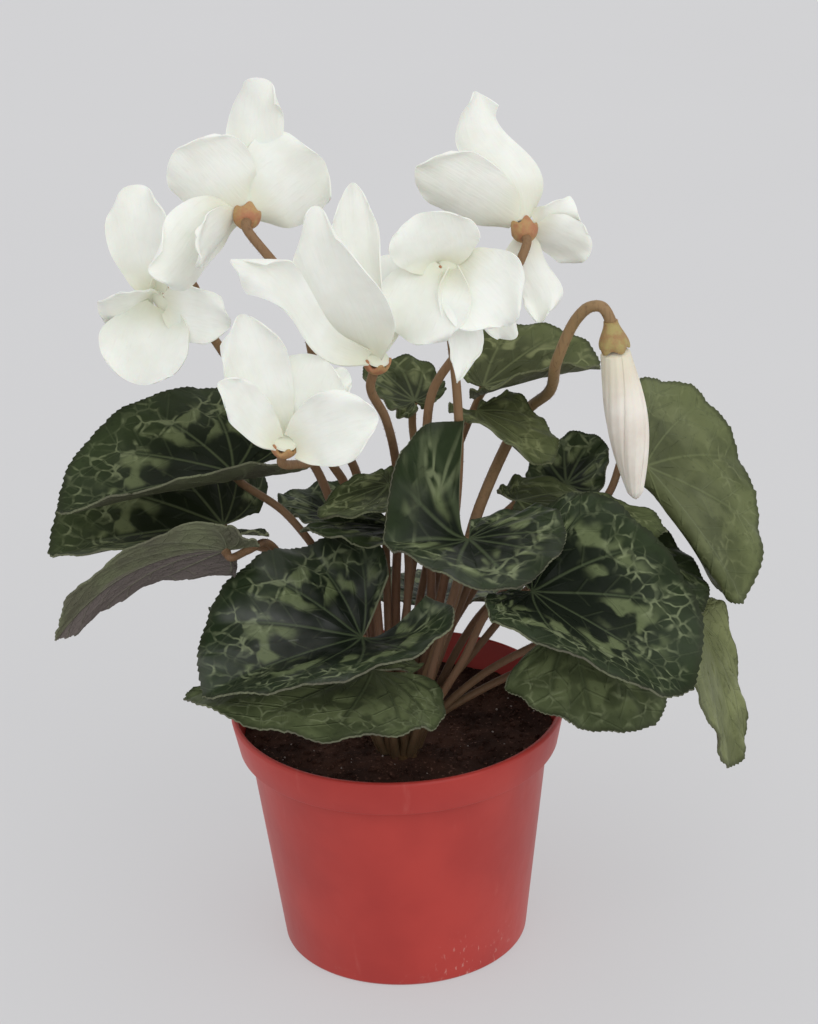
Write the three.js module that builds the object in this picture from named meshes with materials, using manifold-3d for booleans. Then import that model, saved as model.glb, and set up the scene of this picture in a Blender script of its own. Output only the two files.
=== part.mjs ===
// Potted cyclamen, in millimetres, +Z up.
// The origin is the centre of the pot's underside, and the front of the plant looks along -Y.
import * as THREE from "three";
import { mergeVertices } from "three/addons/utils/BufferGeometryUtils.js";
import Module from "manifold-3d";

const wasm = await Module();
wasm.setup();

const GAP = 0.3; // left between two pieces that touch on the real plant

// Pot
const POT_HEIGHT = 91.6;
const POT_BASE_RADIUS = 44.2;
const POT_NECK_RADIUS = 53.8; // outside, just under the rim band
const POT_RIM_RADIUS = 60;
const BAND_HEIGHT = 14;
const BAND_LOW_RADIUS = 57.4;
const POT_WALL = 1.6;
const POT_SIDES = 36;
const DRAIN_RADIUS = 4;
const DRAIN_REACH = 24; // from the pot's axis to each drain hole
const DRAIN_COUNT = 4;

// Soil
const SOIL_TOP = 80.5;
const SOIL_LUMP = 1.1;

// Crown, the short trunk that every stalk grows from
const CROWN_AT = [0, -15];
const CROWN_RADIUS = 12.5;
const CROWN_FOOT = 52;
const CROWN_TOP = 84.5;

// Stalks
const LEAF_STALK_RADIUS = 1.4;
const FLOWER_STALK_RADIUS = 1.6;
const STALK_SIDES = 6;
const STALK_STEPS = 9;
const FLOWER_STALK_STEPS = 16;
const BUD_STALK_STEPS = 44; // enough for the tight hook at its top
const STALK_RISE = 6; // how far a stalk goes straight up off the crown
const STALK_LEAD = 8; // straight end of a leaf stalk, under its blade
const STALK_ENTRY = 0.8; // how squarely that end meets the blade, beside the row's lean

// Leaf blades. The outline's points are an angle from the midrib and the reach of the margin there,
// as a share of the blade's length.
const BLADE_THICKNESS = 1;
const BLADE_RINGS = [0, 0.4, 0.76, 1];
const BLADE_SPOKES = 20;
const CREASE = 7; // width of the rounded fold along the midrib, on each side of it
const TOOTH = 0.03; // how far every second point of the margin stands out
const BLADE_WAVE = 1.2; // height of the margin's ripple
const BLADE_WAVES = 5; // ripples in a full turn of the margin
const SHARE_STEP = 0.02; // steps that the normals of a surface are measured over
const ANGLE_STEP = 1;
const OUTLINE_END = 170; // the last angle of the outline, at the notch by the stalk
const LEAF_OUTLINE = [
  [0, 1.0],
  [20, 0.93],
  [45, 0.83],
  [75, 0.75],
  [105, 0.69],
  [135, 0.64],
  [156, 0.54],
  [170, 0.36],
];

// Petals
const PETAL_THICKNESS = 1;
const PETAL_STEPS = 4;
const PETAL_STRIPS = 4;
const PETAL_SHOULDER = 0.17; // how far the tip's corners fall back behind its middle
const PETAL_WAVE = 1.5; // height of the ripple along a petal's edge
const RIPPLE_SPREAD = 260; // degrees of that ripple across half a petal
const TUBE_RADIUS = 4.6;
const TUBE_FOOT_RADIUS = 3.2;
const TUBE_LENGTH = 5;
const TUBE_WALL = 1.2;
const TUBE_FLOOR = 1.5;
const TUBE_SIDES = 10;
const CALYX_LENGTH = 5;
const CALYX_RADIUS = 5;
const BUD_CALYX_RADIUS = 5.2;
const BUD_CALYX_LENGTH = 9;
const BUD_SIDES = 10;
const BUD_RINGS = 9;
const BUD_RIBS = 5;
const BUD_RIB = 0.08; // how far a rib stands out, as a share of the bud's radius
const BUD_THIN = 0.32; // radius of the bud's two ends, as a share of its middle
const NECK = 9; // straight end of a flower stalk, behind its calyx

const { cos, sin, abs, hypot, min, max, PI } = Math;
const rad = THREE.MathUtils.degToRad;
const vec = (point) => new THREE.Vector3(...point);

const MATERIALS = {
  pot: new THREE.MeshStandardMaterial({ color: 0xaa3e34, roughness: 0.5 }),
  soil: new THREE.MeshStandardMaterial({ color: 0x1c1510, roughness: 1 }),
  crown: new THREE.MeshStandardMaterial({ color: 0x5c3a24, roughness: 0.8 }),
  stalk: new THREE.MeshStandardMaterial({ color: 0x7d5236, roughness: 0.6 }),
  leaf: new THREE.MeshStandardMaterial({ color: 0x2c4a32, roughness: 0.5 }),
  petal: new THREE.MeshStandardMaterial({ color: 0xebeee6, roughness: 0.6 }),
};

// Shared geometry

function closedGeometry(points, faces) {
  const geometry = new THREE.BufferGeometry();
  const numbers = points.flatMap((p) => p.toArray());
  geometry.setAttribute("position", new THREE.Float32BufferAttribute(numbers, 3));
  geometry.setIndex(faces.flat());
  return geometry;
}

function weld(geometry) {
  const bare = geometry.clone();
  bare.deleteAttribute("normal");
  bare.deleteAttribute("uv");
  return mergeVertices(bare, 1e-3);
}

function toSolid(geometry) {
  const merged = weld(geometry);
  const vertProperties = new Float32Array(merged.attributes.position.array);
  const triVerts = new Uint32Array(merged.index.array);
  return new wasm.Manifold(new wasm.Mesh({ numProp: 3, vertProperties, triVerts }));
}

function fromSolid(solid) {
  const { vertProperties, triVerts } = solid.getMesh();
  const geometry = new THREE.BufferGeometry();
  geometry.setAttribute("position", new THREE.BufferAttribute(new Float32Array(vertProperties), 3));
  geometry.setIndex(new THREE.BufferAttribute(new Uint32Array(triVerts), 1));
  return geometry;
}

// A three.js lathe turns about Y: this stands it up along +Z.
function standUp(geometry) {
  return geometry.rotateX(PI / 2);
}

function turned(profile, sides) {
  return standUp(new THREE.LatheGeometry(profile.map(([r, z]) => new THREE.Vector2(r, z)), sides));
}

// Turns a piece made along +Z so that it runs from `foot` towards `axis`.
function aim(geometry, foot, axis) {
  const turn = new THREE.Quaternion().setFromUnitVectors(new THREE.Vector3(0, 0, 1), axis);
  return geometry.applyQuaternion(turn).translate(...foot.toArray());
}

// A thin sheet of even thickness. middle[i][j] is its middle surface and normal[i][j] points out of
// its upper face. Both faces are split into triangles alike.
function sheetGeometry(middle, normal, thickness) {
  const rows = middle.length;
  const columns = middle[0].length;
  const points = [];
  for (const side of [0.5, -0.5]) {
    for (let i = 0; i < rows; i++) {
      for (let j = 0; j < columns; j++) {
        points.push(middle[i][j].clone().addScaledVector(normal[i][j], side * thickness));
      }
    }
  }
  const top = (i, j) => i * columns + j;
  const low = (i, j) => rows * columns + top(i, j);
  const faces = [];
  const quad = (a, b, c, d) => faces.push([a, b, c], [a, c, d]);
  for (let i = 0; i < rows - 1; i++) {
    for (let j = 0; j < columns - 1; j++) {
      quad(top(i, j), top(i + 1, j), top(i + 1, j + 1), top(i, j + 1));
      faces.push([low(i, j), low(i + 1, j + 1), low(i + 1, j)]);
      faces.push([low(i, j), low(i, j + 1), low(i + 1, j + 1)]);
    }
  }
  for (let j = 0; j < columns - 1; j++) {
    quad(top(rows - 1, j), low(rows - 1, j), low(rows - 1, j + 1), top(rows - 1, j + 1));
    quad(top(0, j + 1), low(0, j + 1), low(0, j), top(0, j));
  }
  for (let i = 0; i < rows - 1; i++) {
    quad(top(i, 0), low(i, 0), low(i + 1, 0), top(i + 1, 0));
    quad(top(i + 1, columns - 1), low(i + 1, columns - 1), low(i, columns - 1), top(i, columns - 1));
  }
  return dropFlat(weld(closedGeometry(points, faces)));
}

// Where a row of a sheet shrinks to one point, its faces with two like corners go.
function dropFlat(geometry) {
  const index = Array.from(geometry.index.array);
  const kept = [];
  for (let k = 0; k < index.length; k += 3) {
    const [a, b, c] = index.slice(k, k + 3);
    if (a !== b && b !== c && c !== a) kept.push(a, b, c);
  }
  geometry.setIndex(kept);
  return geometry;
}

// Normals of a surface point(a, b), from a small step each way.
function surface(point, as, bs, stepA, stepB) {
  const middle = as.map((a) => bs.map((b) => point(a, b)));
  const normal = as.map((a) =>
    bs.map((b) => {
      const alongA = point(a + stepA, b).sub(point(a - stepA, b));
      const alongB = point(a, b + stepB).sub(point(a, b - stepB));
      return alongA.cross(alongB).normalize();
    }),
  );
  return { middle, normal };
}

// A strip bent to an arc that turns by `turn` radians over `full`: how far it goes forward and up.
function arc(distance, turn, full) {
  const k = turn / full;
  if (abs(k) < 1e-6) return [distance, 0];
  return [sin(k * distance) / k, (1 - cos(k * distance)) / k];
}

// Bends a surface along its length so that its tip stays on the straight line to it. `bend` is
// positive where the tip turns down, and `size` is the length along the surface.
function bendAlong(forward, rise, bend, size) {
  const k = bend / size;
  const [x, fall] = arc(forward, bend, size);
  const p = x + rise * sin(k * forward);
  const r = -fall + rise * cos(k * forward);
  return [p * cos(bend / 2) - r * sin(bend / 2), p * sin(bend / 2) + r * cos(bend / 2)];
}

function arcLength(chord, bend) {
  return abs(bend) < 1e-6 ? chord : (chord * bend) / 2 / sin(bend / 2);
}

// Leaves

function outlineReach(angle, notch) {
  const a = (min(abs(angle), notch) * OUTLINE_END) / notch;
  const next = max(1, LEAF_OUTLINE.findIndex(([knot]) => knot >= a - 1e-9));
  const [a0, r0] = LEAF_OUTLINE[next - 1];
  const [a1, r1] = LEAF_OUTLINE[next];
  return r0 + ((r1 - r0) * (a - a0)) / (a1 - a0);
}

function leafFrame(leaf) {
  const junction = vec(leaf.junction);
  const along = vec(leaf.tip).sub(junction);
  const chord = along.length();
  along.normalize();
  const side = new THREE.Vector3(0, 0, 1).cross(along).normalize();
  side.applyAxisAngle(along, rad(leaf.roll));
  return { junction, along, side, up: along.clone().cross(side), chord };
}

// Half of a leaf across its midrib: it turns by `fold` over the crease and is straight from there on.
function acrossLeaf(distance, fold) {
  const [x, y] = arc(min(distance, CREASE), fold, CREASE);
  const flat = max(0, distance - CREASE);
  return [x + flat * cos(fold), y + flat * sin(fold)];
}

// A point of the blade, `share` of the way from the junction to the margin, at `angle` degrees
// round from the midrib, positive on the left of a leaf seen from above with its tip ahead.
function leafPoint(leaf, frame, share, angle) {
  const bend = rad(leaf.droop);
  const size = arcLength(frame.chord, bend);
  const reach = size * share * outlineReach(angle, leaf.notch);
  const left = angle >= 0;
  const width = left ? leaf.widthLeft : leaf.widthRight;
  const across = reach * abs(sin(rad(angle))) * width;
  const ahead = reach * cos(rad(angle));
  const lobes = left ? leaf.lobesLeft : leaf.lobesRight;
  const forward = ahead < 0 ? ahead * lobes : ahead;
  const fold = rad(left ? leaf.foldLeft : leaf.foldRight);
  const [sideways, raised] = acrossLeaf(across, fold);
  const ripple = BLADE_WAVE * share * share * sin(rad(angle * BLADE_WAVES));
  const behind = max(0, -cos(rad(angle))) * share * share;
  const lobe = behind * (left ? leaf.liftLeft : leaf.liftRight);
  const sway = behind * (left ? leaf.swayLeft : leaf.swayRight);
  const [p, r] = bendAlong(forward, raised + ripple + lobe, bend, size);
  return frame.junction
    .clone()
    .addScaledVector(frame.along, p)
    .addScaledVector(frame.side, (left ? sideways : -sideways) + sway)
    .addScaledVector(frame.up, r);
}

function bladeGeometry(leaf) {
  const frame = leafFrame(leaf);
  const angles = [];
  for (let j = 0; j <= BLADE_SPOKES; j++) angles.push(leaf.notch * ((2 * j) / BLADE_SPOKES - 1));
  const point = (share, angle) => leafPoint(leaf, frame, share, angle);
  const { middle, normal } = surface(point, BLADE_RINGS, angles, SHARE_STEP, ANGLE_STEP);
  const edge = BLADE_RINGS.length - 1;
  for (let j = 1; j < BLADE_SPOKES; j += 2) {
    middle[edge][j].lerp(frame.junction, -TOOTH);
  }
  normal[0] = angles.map(() => frame.up);
  return sheetGeometry(middle, normal, BLADE_THICKNESS);
}

// Stalks

function tube(points, radius, steps = STALK_STEPS) {
  const path = new THREE.CatmullRomCurve3(points, false, "centripetal");
  const centre = new THREE.Vector2();
  const corner = (k) => new THREE.Vector2(radius, 0).rotateAround(centre, (2 * PI * k) / STALK_SIDES);
  const section = new THREE.Shape(Array.from({ length: STALK_SIDES }, (_, k) => corner(k)));
  return new THREE.ExtrudeGeometry(section, {
    steps,
    bevelEnabled: false,
    extrudePath: path,
  });
}

function stalkStart(root) {
  const foot = new THREE.Vector3(CROWN_AT[0] + root[0], CROWN_AT[1] + root[1], CROWN_TOP + GAP);
  return [foot, foot.clone().setZ(foot.z + STALK_RISE)];
}

// The stalk ends under the blade, leaning the way the midrib runs.
function leafStalkGeometry(leaf) {
  const frame = leafFrame(leaf);
  const tilt = rad(leaf.droop / 2);
  const along = frame.along.clone().applyAxisAngle(frame.side, -tilt);
  const up = frame.up.clone().applyAxisAngle(frame.side, -tilt);
  const entry = up.clone().multiplyScalar(STALK_ENTRY).addScaledVector(along, leaf.lean).normalize();
  const clearance = BLADE_THICKNESS / 2 + GAP + LEAF_STALK_RADIUS * 0.75;
  const end = frame.junction
    .clone()
    .addScaledVector(up, -clearance)
    .addScaledVector(frame.side, leaf.stalkSide);
  const before = end.clone().addScaledVector(entry, -STALK_LEAD);
  return tube([...stalkStart(leaf.root), ...leaf.via.map(vec), before, end], LEAF_STALK_RADIUS);
}

// Blooms

function petalProfile(u, petal) {
  if (u < petal.widest) return petal.foot + (1 - petal.foot) * sin((PI / 2) * (u / petal.widest));
  return cos(((u - petal.widest) / (1 - petal.widest)) * petal.end);
}

function petalFrame(bloom, petal) {
  const centre = vec(bloom.centre);
  const axis = vec(bloom.axis).normalize();
  const tip = vec(petal.tip);
  const toTip = tip.clone().sub(centre);
  const outward = toTip.clone().addScaledVector(axis, -toTip.dot(axis)).normalize();
  const start = centre
    .clone()
    .addScaledVector(outward, TUBE_RADIUS - TUBE_WALL)
    .addScaledVector(axis, TUBE_LENGTH - 1);
  const along = tip.clone().sub(start);
  const chord = along.length();
  along.normalize();
  const face = petal.face ? vec(petal.face) : axis;
  const up = face.clone().addScaledVector(along, -face.dot(along)).normalize();
  return { start, along, up, side: up.clone().cross(along), chord };
}

// A point of a petal, u from its root to its tip and w from -1 to 1 across it.
function petalPoint(petal, frame, u, w) {
  const bend = rad(petal.bend);
  const size = arcLength(frame.chord, bend);
  const half = (petal.width / 2) * petalProfile(u, petal);
  const forward = size * u * (1 - PETAL_SHOULDER * w * w * u * u);
  const [out, lift] = arc(half * w, rad(petal.cup), petal.width / 2);
  const ripple = PETAL_WAVE * u * u * sin(rad(w * RIPPLE_SPREAD)) * abs(w);
  const turn = rad(petal.twist) * u * u;
  const across = out * cos(turn) - (lift + ripple) * sin(turn) + petal.sway * sin(2 * PI * u);
  const raised = out * sin(turn) + (lift + ripple) * cos(turn);
  const [p, r] = bendAlong(forward, raised, bend, size);
  return frame.start
    .clone()
    .addScaledVector(frame.along, p)
    .addScaledVector(frame.side, across)
    .addScaledVector(frame.up, r);
}

function petalGeometry(bloom, petal) {
  const frame = petalFrame(bloom, petal);
  const us = Array.from({ length: PETAL_STEPS + 1 }, (_, i) => i / PETAL_STEPS);
  const ws = Array.from({ length: PETAL_STRIPS + 1 }, (_, j) => (2 * j) / PETAL_STRIPS - 1);
  const point = (u, w) => petalPoint(petal, frame, u, w);
  const { middle, normal } = surface(point, us, ws, SHARE_STEP / 2, SHARE_STEP);
  return sheetGeometry(middle, normal, PETAL_THICKNESS);
}

function tubeCup(bloom) {
  const profile = [
    [0, 0],
    [TUBE_FOOT_RADIUS, 0],
    [TUBE_RADIUS, TUBE_LENGTH],
    [TUBE_RADIUS - TUBE_WALL, TUBE_LENGTH],
    [TUBE_FOOT_RADIUS - TUBE_WALL, TUBE_FLOOR],
    [0, TUBE_FLOOR],
  ];
  return aim(turned(profile, TUBE_SIDES), vec(bloom.centre), vec(bloom.axis).normalize());
}

function flowerGeometry(bloom) {
  let solid = toSolid(tubeCup(bloom));
  for (const petal of bloom.petals) solid = solid.add(toSolid(petalGeometry(bloom, petal)));
  return fromSolid(solid);
}

// The calyx is a small cup with five short lobes, grown to the end of the stalk.
function calyxGeometry(centre, axis, radius, length) {
  const foot = centre.clone().addScaledVector(axis, -GAP - length);
  const profile = [
    [0, 0],
    [FLOWER_STALK_RADIUS * 1.1, 0],
    [radius * 0.9, length * 0.45],
    [radius, length],
    [0, length],
  ];
  return aim(turned(profile, TUBE_SIDES), foot, axis);
}

function flowerStalkGeometry(bloom, radius = CALYX_RADIUS, length = CALYX_LENGTH) {
  const centre = vec(bloom.centre);
  const axis = vec(bloom.axis).normalize();
  const end = centre.clone().addScaledVector(axis, -GAP - length + 1);
  const before = end.clone().addScaledVector(axis, -bloom.neck);
  const points = [...stalkStart(bloom.root), ...bloom.via.map(vec), before, end];
  const stalk = toSolid(tube(points, FLOWER_STALK_RADIUS, bloom.steps));
  return fromSolid(stalk.add(toSolid(calyxGeometry(centre, axis, radius, length))));
}

// Bud

// The closed petals are wound round each other: a ribbed spindle with a slow twist.
function budGeometry(bud) {
  const geometry = new THREE.CylinderGeometry(1, 1, 1, BUD_SIDES, BUD_RINGS);
  geometry.rotateX(PI / 2).translate(0, 0, 0.5);
  const place = geometry.attributes.position;
  for (let i = 0; i < place.count; i++) {
    const t = place.getZ(i);
    const inWall = hypot(place.getX(i), place.getY(i)) > 0.5 ? 1 : 0;
    const angle = Math.atan2(place.getY(i), place.getX(i));
    const swell = BUD_THIN + (1 - BUD_THIN) * sin(PI * min(1, t * 0.95 + 0.12)) ** 0.7;
    const rib = 1 + BUD_RIB * cos(BUD_RIBS * angle);
    const radius = inWall * bud.radius * swell * rib;
    const turn = angle + rad(bud.twist) * t;
    place.setXYZ(i, radius * cos(turn), radius * sin(turn), t * bud.length);
  }
  return aim(weld(geometry), vec(bud.centre), vec(bud.axis).normalize());
}

// Pot

function potGeometry() {
  const neck = POT_HEIGHT - BAND_HEIGHT;
  const profile = [
    [0, 0],
    [POT_BASE_RADIUS - 1, 0],
    [POT_BASE_RADIUS, 1],
    [POT_NECK_RADIUS, neck],
    [BAND_LOW_RADIUS, neck + 0.4],
    [POT_RIM_RADIUS, POT_HEIGHT - 1],
    [POT_RIM_RADIUS - 0.6, POT_HEIGHT],
    [POT_RIM_RADIUS - POT_WALL - 0.4, POT_HEIGHT],
    [BAND_LOW_RADIUS - POT_WALL, neck + 2],
    [POT_NECK_RADIUS - POT_WALL, neck + 0.6],
    [POT_BASE_RADIUS - POT_WALL, POT_WALL],
    [0, POT_WALL],
  ];
  let solid = toSolid(turned(profile, POT_SIDES));
  for (let k = 0; k < DRAIN_COUNT; k++) {
    const angle = (2 * PI * (k + 0.5)) / DRAIN_COUNT;
    const drill = new THREE.CylinderGeometry(DRAIN_RADIUS, DRAIN_RADIUS, 10, 12).rotateX(PI / 2);
    drill.translate(DRAIN_REACH * cos(angle), DRAIN_REACH * sin(angle), 0);
    solid = solid.subtract(toSolid(drill));
  }
  return fromSolid(solid);
}

// Soil

function soilGeometry() {
  const neck = POT_HEIGHT - BAND_HEIGHT;
  const slope = (POT_NECK_RADIUS - POT_BASE_RADIUS) / neck;
  const bodyRadius = (z) => POT_BASE_RADIUS + slope * z - POT_WALL - GAP;
  const bandRadius = BAND_LOW_RADIUS - POT_WALL - GAP;
  const low = POT_WALL + GAP;
  const profile = [
    [0, low],
    [bodyRadius(low) - 0.2, low],
    [bodyRadius(neck) - 0.2, neck + 1],
    [bandRadius - 0.2, neck + 2.5],
    [bandRadius, SOIL_TOP],
    [bandRadius * 0.82, SOIL_TOP + 0.3],
    [bandRadius * 0.6, SOIL_TOP + 0.3],
    [bandRadius * 0.36, SOIL_TOP + 0.3],
    [0, SOIL_TOP + 0.3],
  ];
  const body = weld(turned(profile, POT_SIDES));
  const place = body.attributes.position;
  for (let i = 0; i < place.count; i++) {
    const [x, y, z] = [place.getX(i), place.getY(i), place.getZ(i)];
    if (z > SOIL_TOP) place.setZ(i, z + SOIL_LUMP * sin(x * 0.41 + 1) * cos(y * 0.37));
  }
  const hole = new THREE.CylinderGeometry(CROWN_RADIUS + GAP, CROWN_RADIUS + GAP, 60, 20).rotateX(PI / 2);
  hole.translate(CROWN_AT[0], CROWN_AT[1], CROWN_FOOT - GAP + 30);
  return fromSolid(toSolid(body).subtract(toSolid(hole)));
}

function crownGeometry() {
  const profile = [
    [0, CROWN_FOOT],
    [CROWN_RADIUS * 0.6, CROWN_FOOT],
    [CROWN_RADIUS * 0.95, CROWN_FOOT + 8],
    [CROWN_RADIUS * 0.93, CROWN_TOP - 6],
    [CROWN_RADIUS, CROWN_TOP - 1.5],
    [CROWN_RADIUS * 0.95, CROWN_TOP],
    [0, CROWN_TOP],
  ];
  return turned(profile, 16).translate(CROWN_AT[0], CROWN_AT[1], 0);
}

// The plant's leaves. junction and tip are the two ends of the midrib, and left and right are as seen
// from above with the tip ahead. roll raises the left side. The widths stretch each half, and lobes
// the lobe of each half beside the notch. fold raises a half, lift raises its lobe, and sway moves
// the lobe sideways. droop bends the tip down, and notch is the angle where the notch begins. root is
// where the stalk leaves the crown, via is its way up, lean is how far it bends along the midrib, and
// stalkSide moves its end off the midrib.
const LEAF = {
  roll: 0,
  widthLeft: 1,
  widthRight: 1,
  lobesLeft: 0.8,
  lobesRight: 0.8,
  foldLeft: 14,
  foldRight: 14,
  liftLeft: 0,
  liftRight: 0,
  swayLeft: 0,
  swayRight: 0,
  droop: 15,
  notch: 165,
  lean: 0.6,
  stalkSide: 0,
  via: [],
};
const LEAVES = [
  {
    name: "leaf_01",
    junction: [-54, 0, 185],
    tip: [-115, -14, 179],
    roll: -30,
    foldLeft: 66,
    foldRight: 5,
    widthRight: 0.82,
    widthLeft: 0.55,
    lobesRight: 0.95,
    root: [-5.5, -3.2],
    via: [
      [-17, -8, 138],
      [-36, 4, 166],
    ],
  },
  {
    name: "leaf_02",
    junction: [-59, 6, 162],
    tip: [-120, -6, 160],
    roll: -25,
    foldLeft: 48,
    foldRight: 8,
    lobesLeft: 0.35,
    lobesRight: 0.65,
    root: [-9.2, -3.2],
    via: [
      [-18, -4, 132],
      [-40, 6, 150],
    ],
  },
  {
    name: "leaf_03",
    junction: [-56, -38, 173.5],
    tip: [-114, -56, 150.5],
    foldLeft: 0,
    foldRight: -8,
    widthLeft: 0.32,
    widthRight: 0.3,
    lobesLeft: 0.4,
    lobesRight: 0.05,
    roll: 60,
    droop: 70,
    lean: 1.2,
    root: [-7.4, -6.4],
    via: [
      [-17, -18, 124],
      [-34, -9, 147],
      [-42, -13, 163],
      [-49, -32, 170],
    ],
  },
  {
    name: "leaf_04",
    junction: [-11, -42, 140],
    tip: [-65, -70, 135],
    roll: -12,
    foldLeft: 28,
    foldRight: 20,
    liftLeft: 22,
    liftRight: 14,
    notch: 145,
    root: [-1.8, -9.6],
    via: [
      [-4, -22, 122],
      [-8, -29, 131],
    ],
  },
  {
    name: "leaf_05",
    junction: [-8, -42, 127],
    tip: [-72, -62, 130],
    foldLeft: -8,
    widthLeft: 0.85,
    lobesLeft: 0.65,
    lobesRight: 0.65,
    widthRight: 0.3,
    foldRight: -10,
    root: [1.9, -9.6],
    via: [],
  },
  {
    name: "leaf_06",
    junction: [0, 0, 178],
    tip: [-25, -14, 174],
    roll: -25,
    foldLeft: 40,
    widthRight: 0.35,
    lobesLeft: 0.2,
    lobesRight: 0.4,
    root: [-1.8, -3.2],
    via: [
      [-2, -4, 136],
      [-1, 8, 160],
    ],
  },
  {
    name: "leaf_07",
    junction: [4, -6, 163],
    tip: [-31, -18, 170],
    foldLeft: 0,
    widthLeft: 0.6,
    widthRight: 0.35,
    lobesLeft: 0.5,
    lobesRight: 0.4,
    root: [0, -6.4],
    via: [],
  },
  {
    name: "leaf_08",
    junction: [27, -26, 168],
    tip: [42, -56, 163],
    widthLeft: 1.35,
    widthRight: 1.4,
    foldLeft: 6,
    foldRight: 15,
    liftRight: 40,
    notch: 160,
    swayRight: 16,
    lobesRight: 1.3,
    root: [5.6, -9.6],
    via: [
      [16, -23, 128],
      [22, -26, 150],
    ],
  },
  {
    name: "leaf_09",
    junction: [48, -36, 152],
    tip: [101, -60, 124],
    roll: 8,
    foldLeft: 25,
    foldRight: 20,
    lobesLeft: 0.5,
    lobesRight: 0.3,
    widthLeft: 0.95,
    widthRight: 0.8,
    root: [7.4, -6.4],
    via: [
      [24, -26, 122],
      [34, -30, 143],
    ],
  },
  {
    name: "leaf_10",
    junction: [61, -30, 133],
    tip: [89, -52, 107],
    lobesLeft: 0.3,
    lobesRight: 0.3,
    notch: 130,
    widthLeft: 0.85,
    widthRight: 1.1,
    foldRight: -20,
    root: [9.3, -3.2],
    via: [[30, -20, 112]],
  },
  {
    name: "leaf_11",
    junction: [91, 14, 175],
    tip: [125, 2, 126],
    foldLeft: 10,
    foldRight: -155,
    widthRight: 0.6,
    widthLeft: 1.2,
    lobesRight: 0.05,
    lean: 1.4,
    stalkSide: 8.5,
    root: [9.3, 3.2],
    via: [
      [30, 0, 125],
      [58, 14, 143],
      [78, 18, 163],
    ],
  },
  {
    name: "leaf_12",
    junction: [109, 2, 119],
    tip: [122, -4, 64],
    widthLeft: 0.35,
    widthRight: 0.95,
    lobesLeft: 0.2,
    lobesRight: 0.2,
    root: [11, 0],
    via: [
      [26, -16, 102],
      [60, -8, 114],
      [90, 2, 118],
    ],
  },
  {
    name: "leaf_13",
    junction: [35, 35, 199],
    tip: [77, 43, 204],
    roll: 20,
    foldLeft: 10,
    foldRight: 50,
    lobesLeft: 0.3,
    lobesRight: 0.3,
    widthLeft: 0.85,
    root: [0, 6.4],
    via: [
      [9, 2, 130],
      [21, 22, 170],
    ],
  },
  {
    name: "leaf_14",
    junction: [32, 18, 197],
    tip: [57, -1, 184],
    foldRight: 25,
    roll: -3,
    foldLeft: 0,
    widthLeft: 0.85,
    lobesLeft: 0.1,
    widthRight: 0.8,
    lobesRight: 0.3,
    root: [1.9, 3.2],
    via: [
      [13, 1, 130],
      [24, 16, 170],
    ],
  },
  {
    name: "leaf_15",
    junction: [64, 34, 160],
    tip: [75, 48, 173],
    root: [3.7, 6.4],
    via: [
      [24, 6, 125],
      [44, 20, 145],
    ],
  },
  {
    name: "leaf_16",
    junction: [45, 4, 168],
    tip: [97, -4, 158],
    roll: -5,
    widthLeft: 0.4,
    widthRight: 0.5,
    foldRight: -130,
    lobesLeft: 0.3,
    lobesRight: 0.05,
    lean: 0.8,
    stalkSide: 1.5,
    root: [5.6, -3.2],
    via: [[22, -8, 130]],
  },
  {
    name: "leaf_17",
    junction: [10, 22, 200],
    tip: [-6, 34, 211],
    lobesLeft: 0.4,
    lobesRight: 0.4,
    root: [-1.8, 3.2],
    via: [
      [5, 0, 132],
      [11, 9, 168],
    ],
  },
  {
    name: "leaf_18",
    junction: [80, 20, 142],
    tip: [110, -4, 126],
    lobesLeft: 0.4,
    lobesRight: 0.4,
    widthLeft: 0.6,
    root: [7.4, 0],
    via: [
      [30, -8, 118],
      [52, 2, 138],
    ],
  },
  {
    name: "leaf_19",
    junction: [-21, 28, 154],
    tip: [-38, 42, 157],
    root: [-3.7, 6.4],
    via: [[-10, 4, 125]],
  },
  {
    name: "leaf_20",
    junction: [-33, 28, 118],
    tip: [-60, 60, 102],
    widthLeft: 0.85,
    widthRight: 0.85,
    root: [-3.7, 9.6],
    via: [[-14, 12, 108]],
  },
  {
    name: "leaf_21",
    junction: [16, 42, 112],
    tip: [34, 84, 94],
    widthLeft: 0.75,
    widthRight: 0.85,
    root: [0, 9.6],
    via: [[7, 20, 102]],
  },
];

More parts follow.
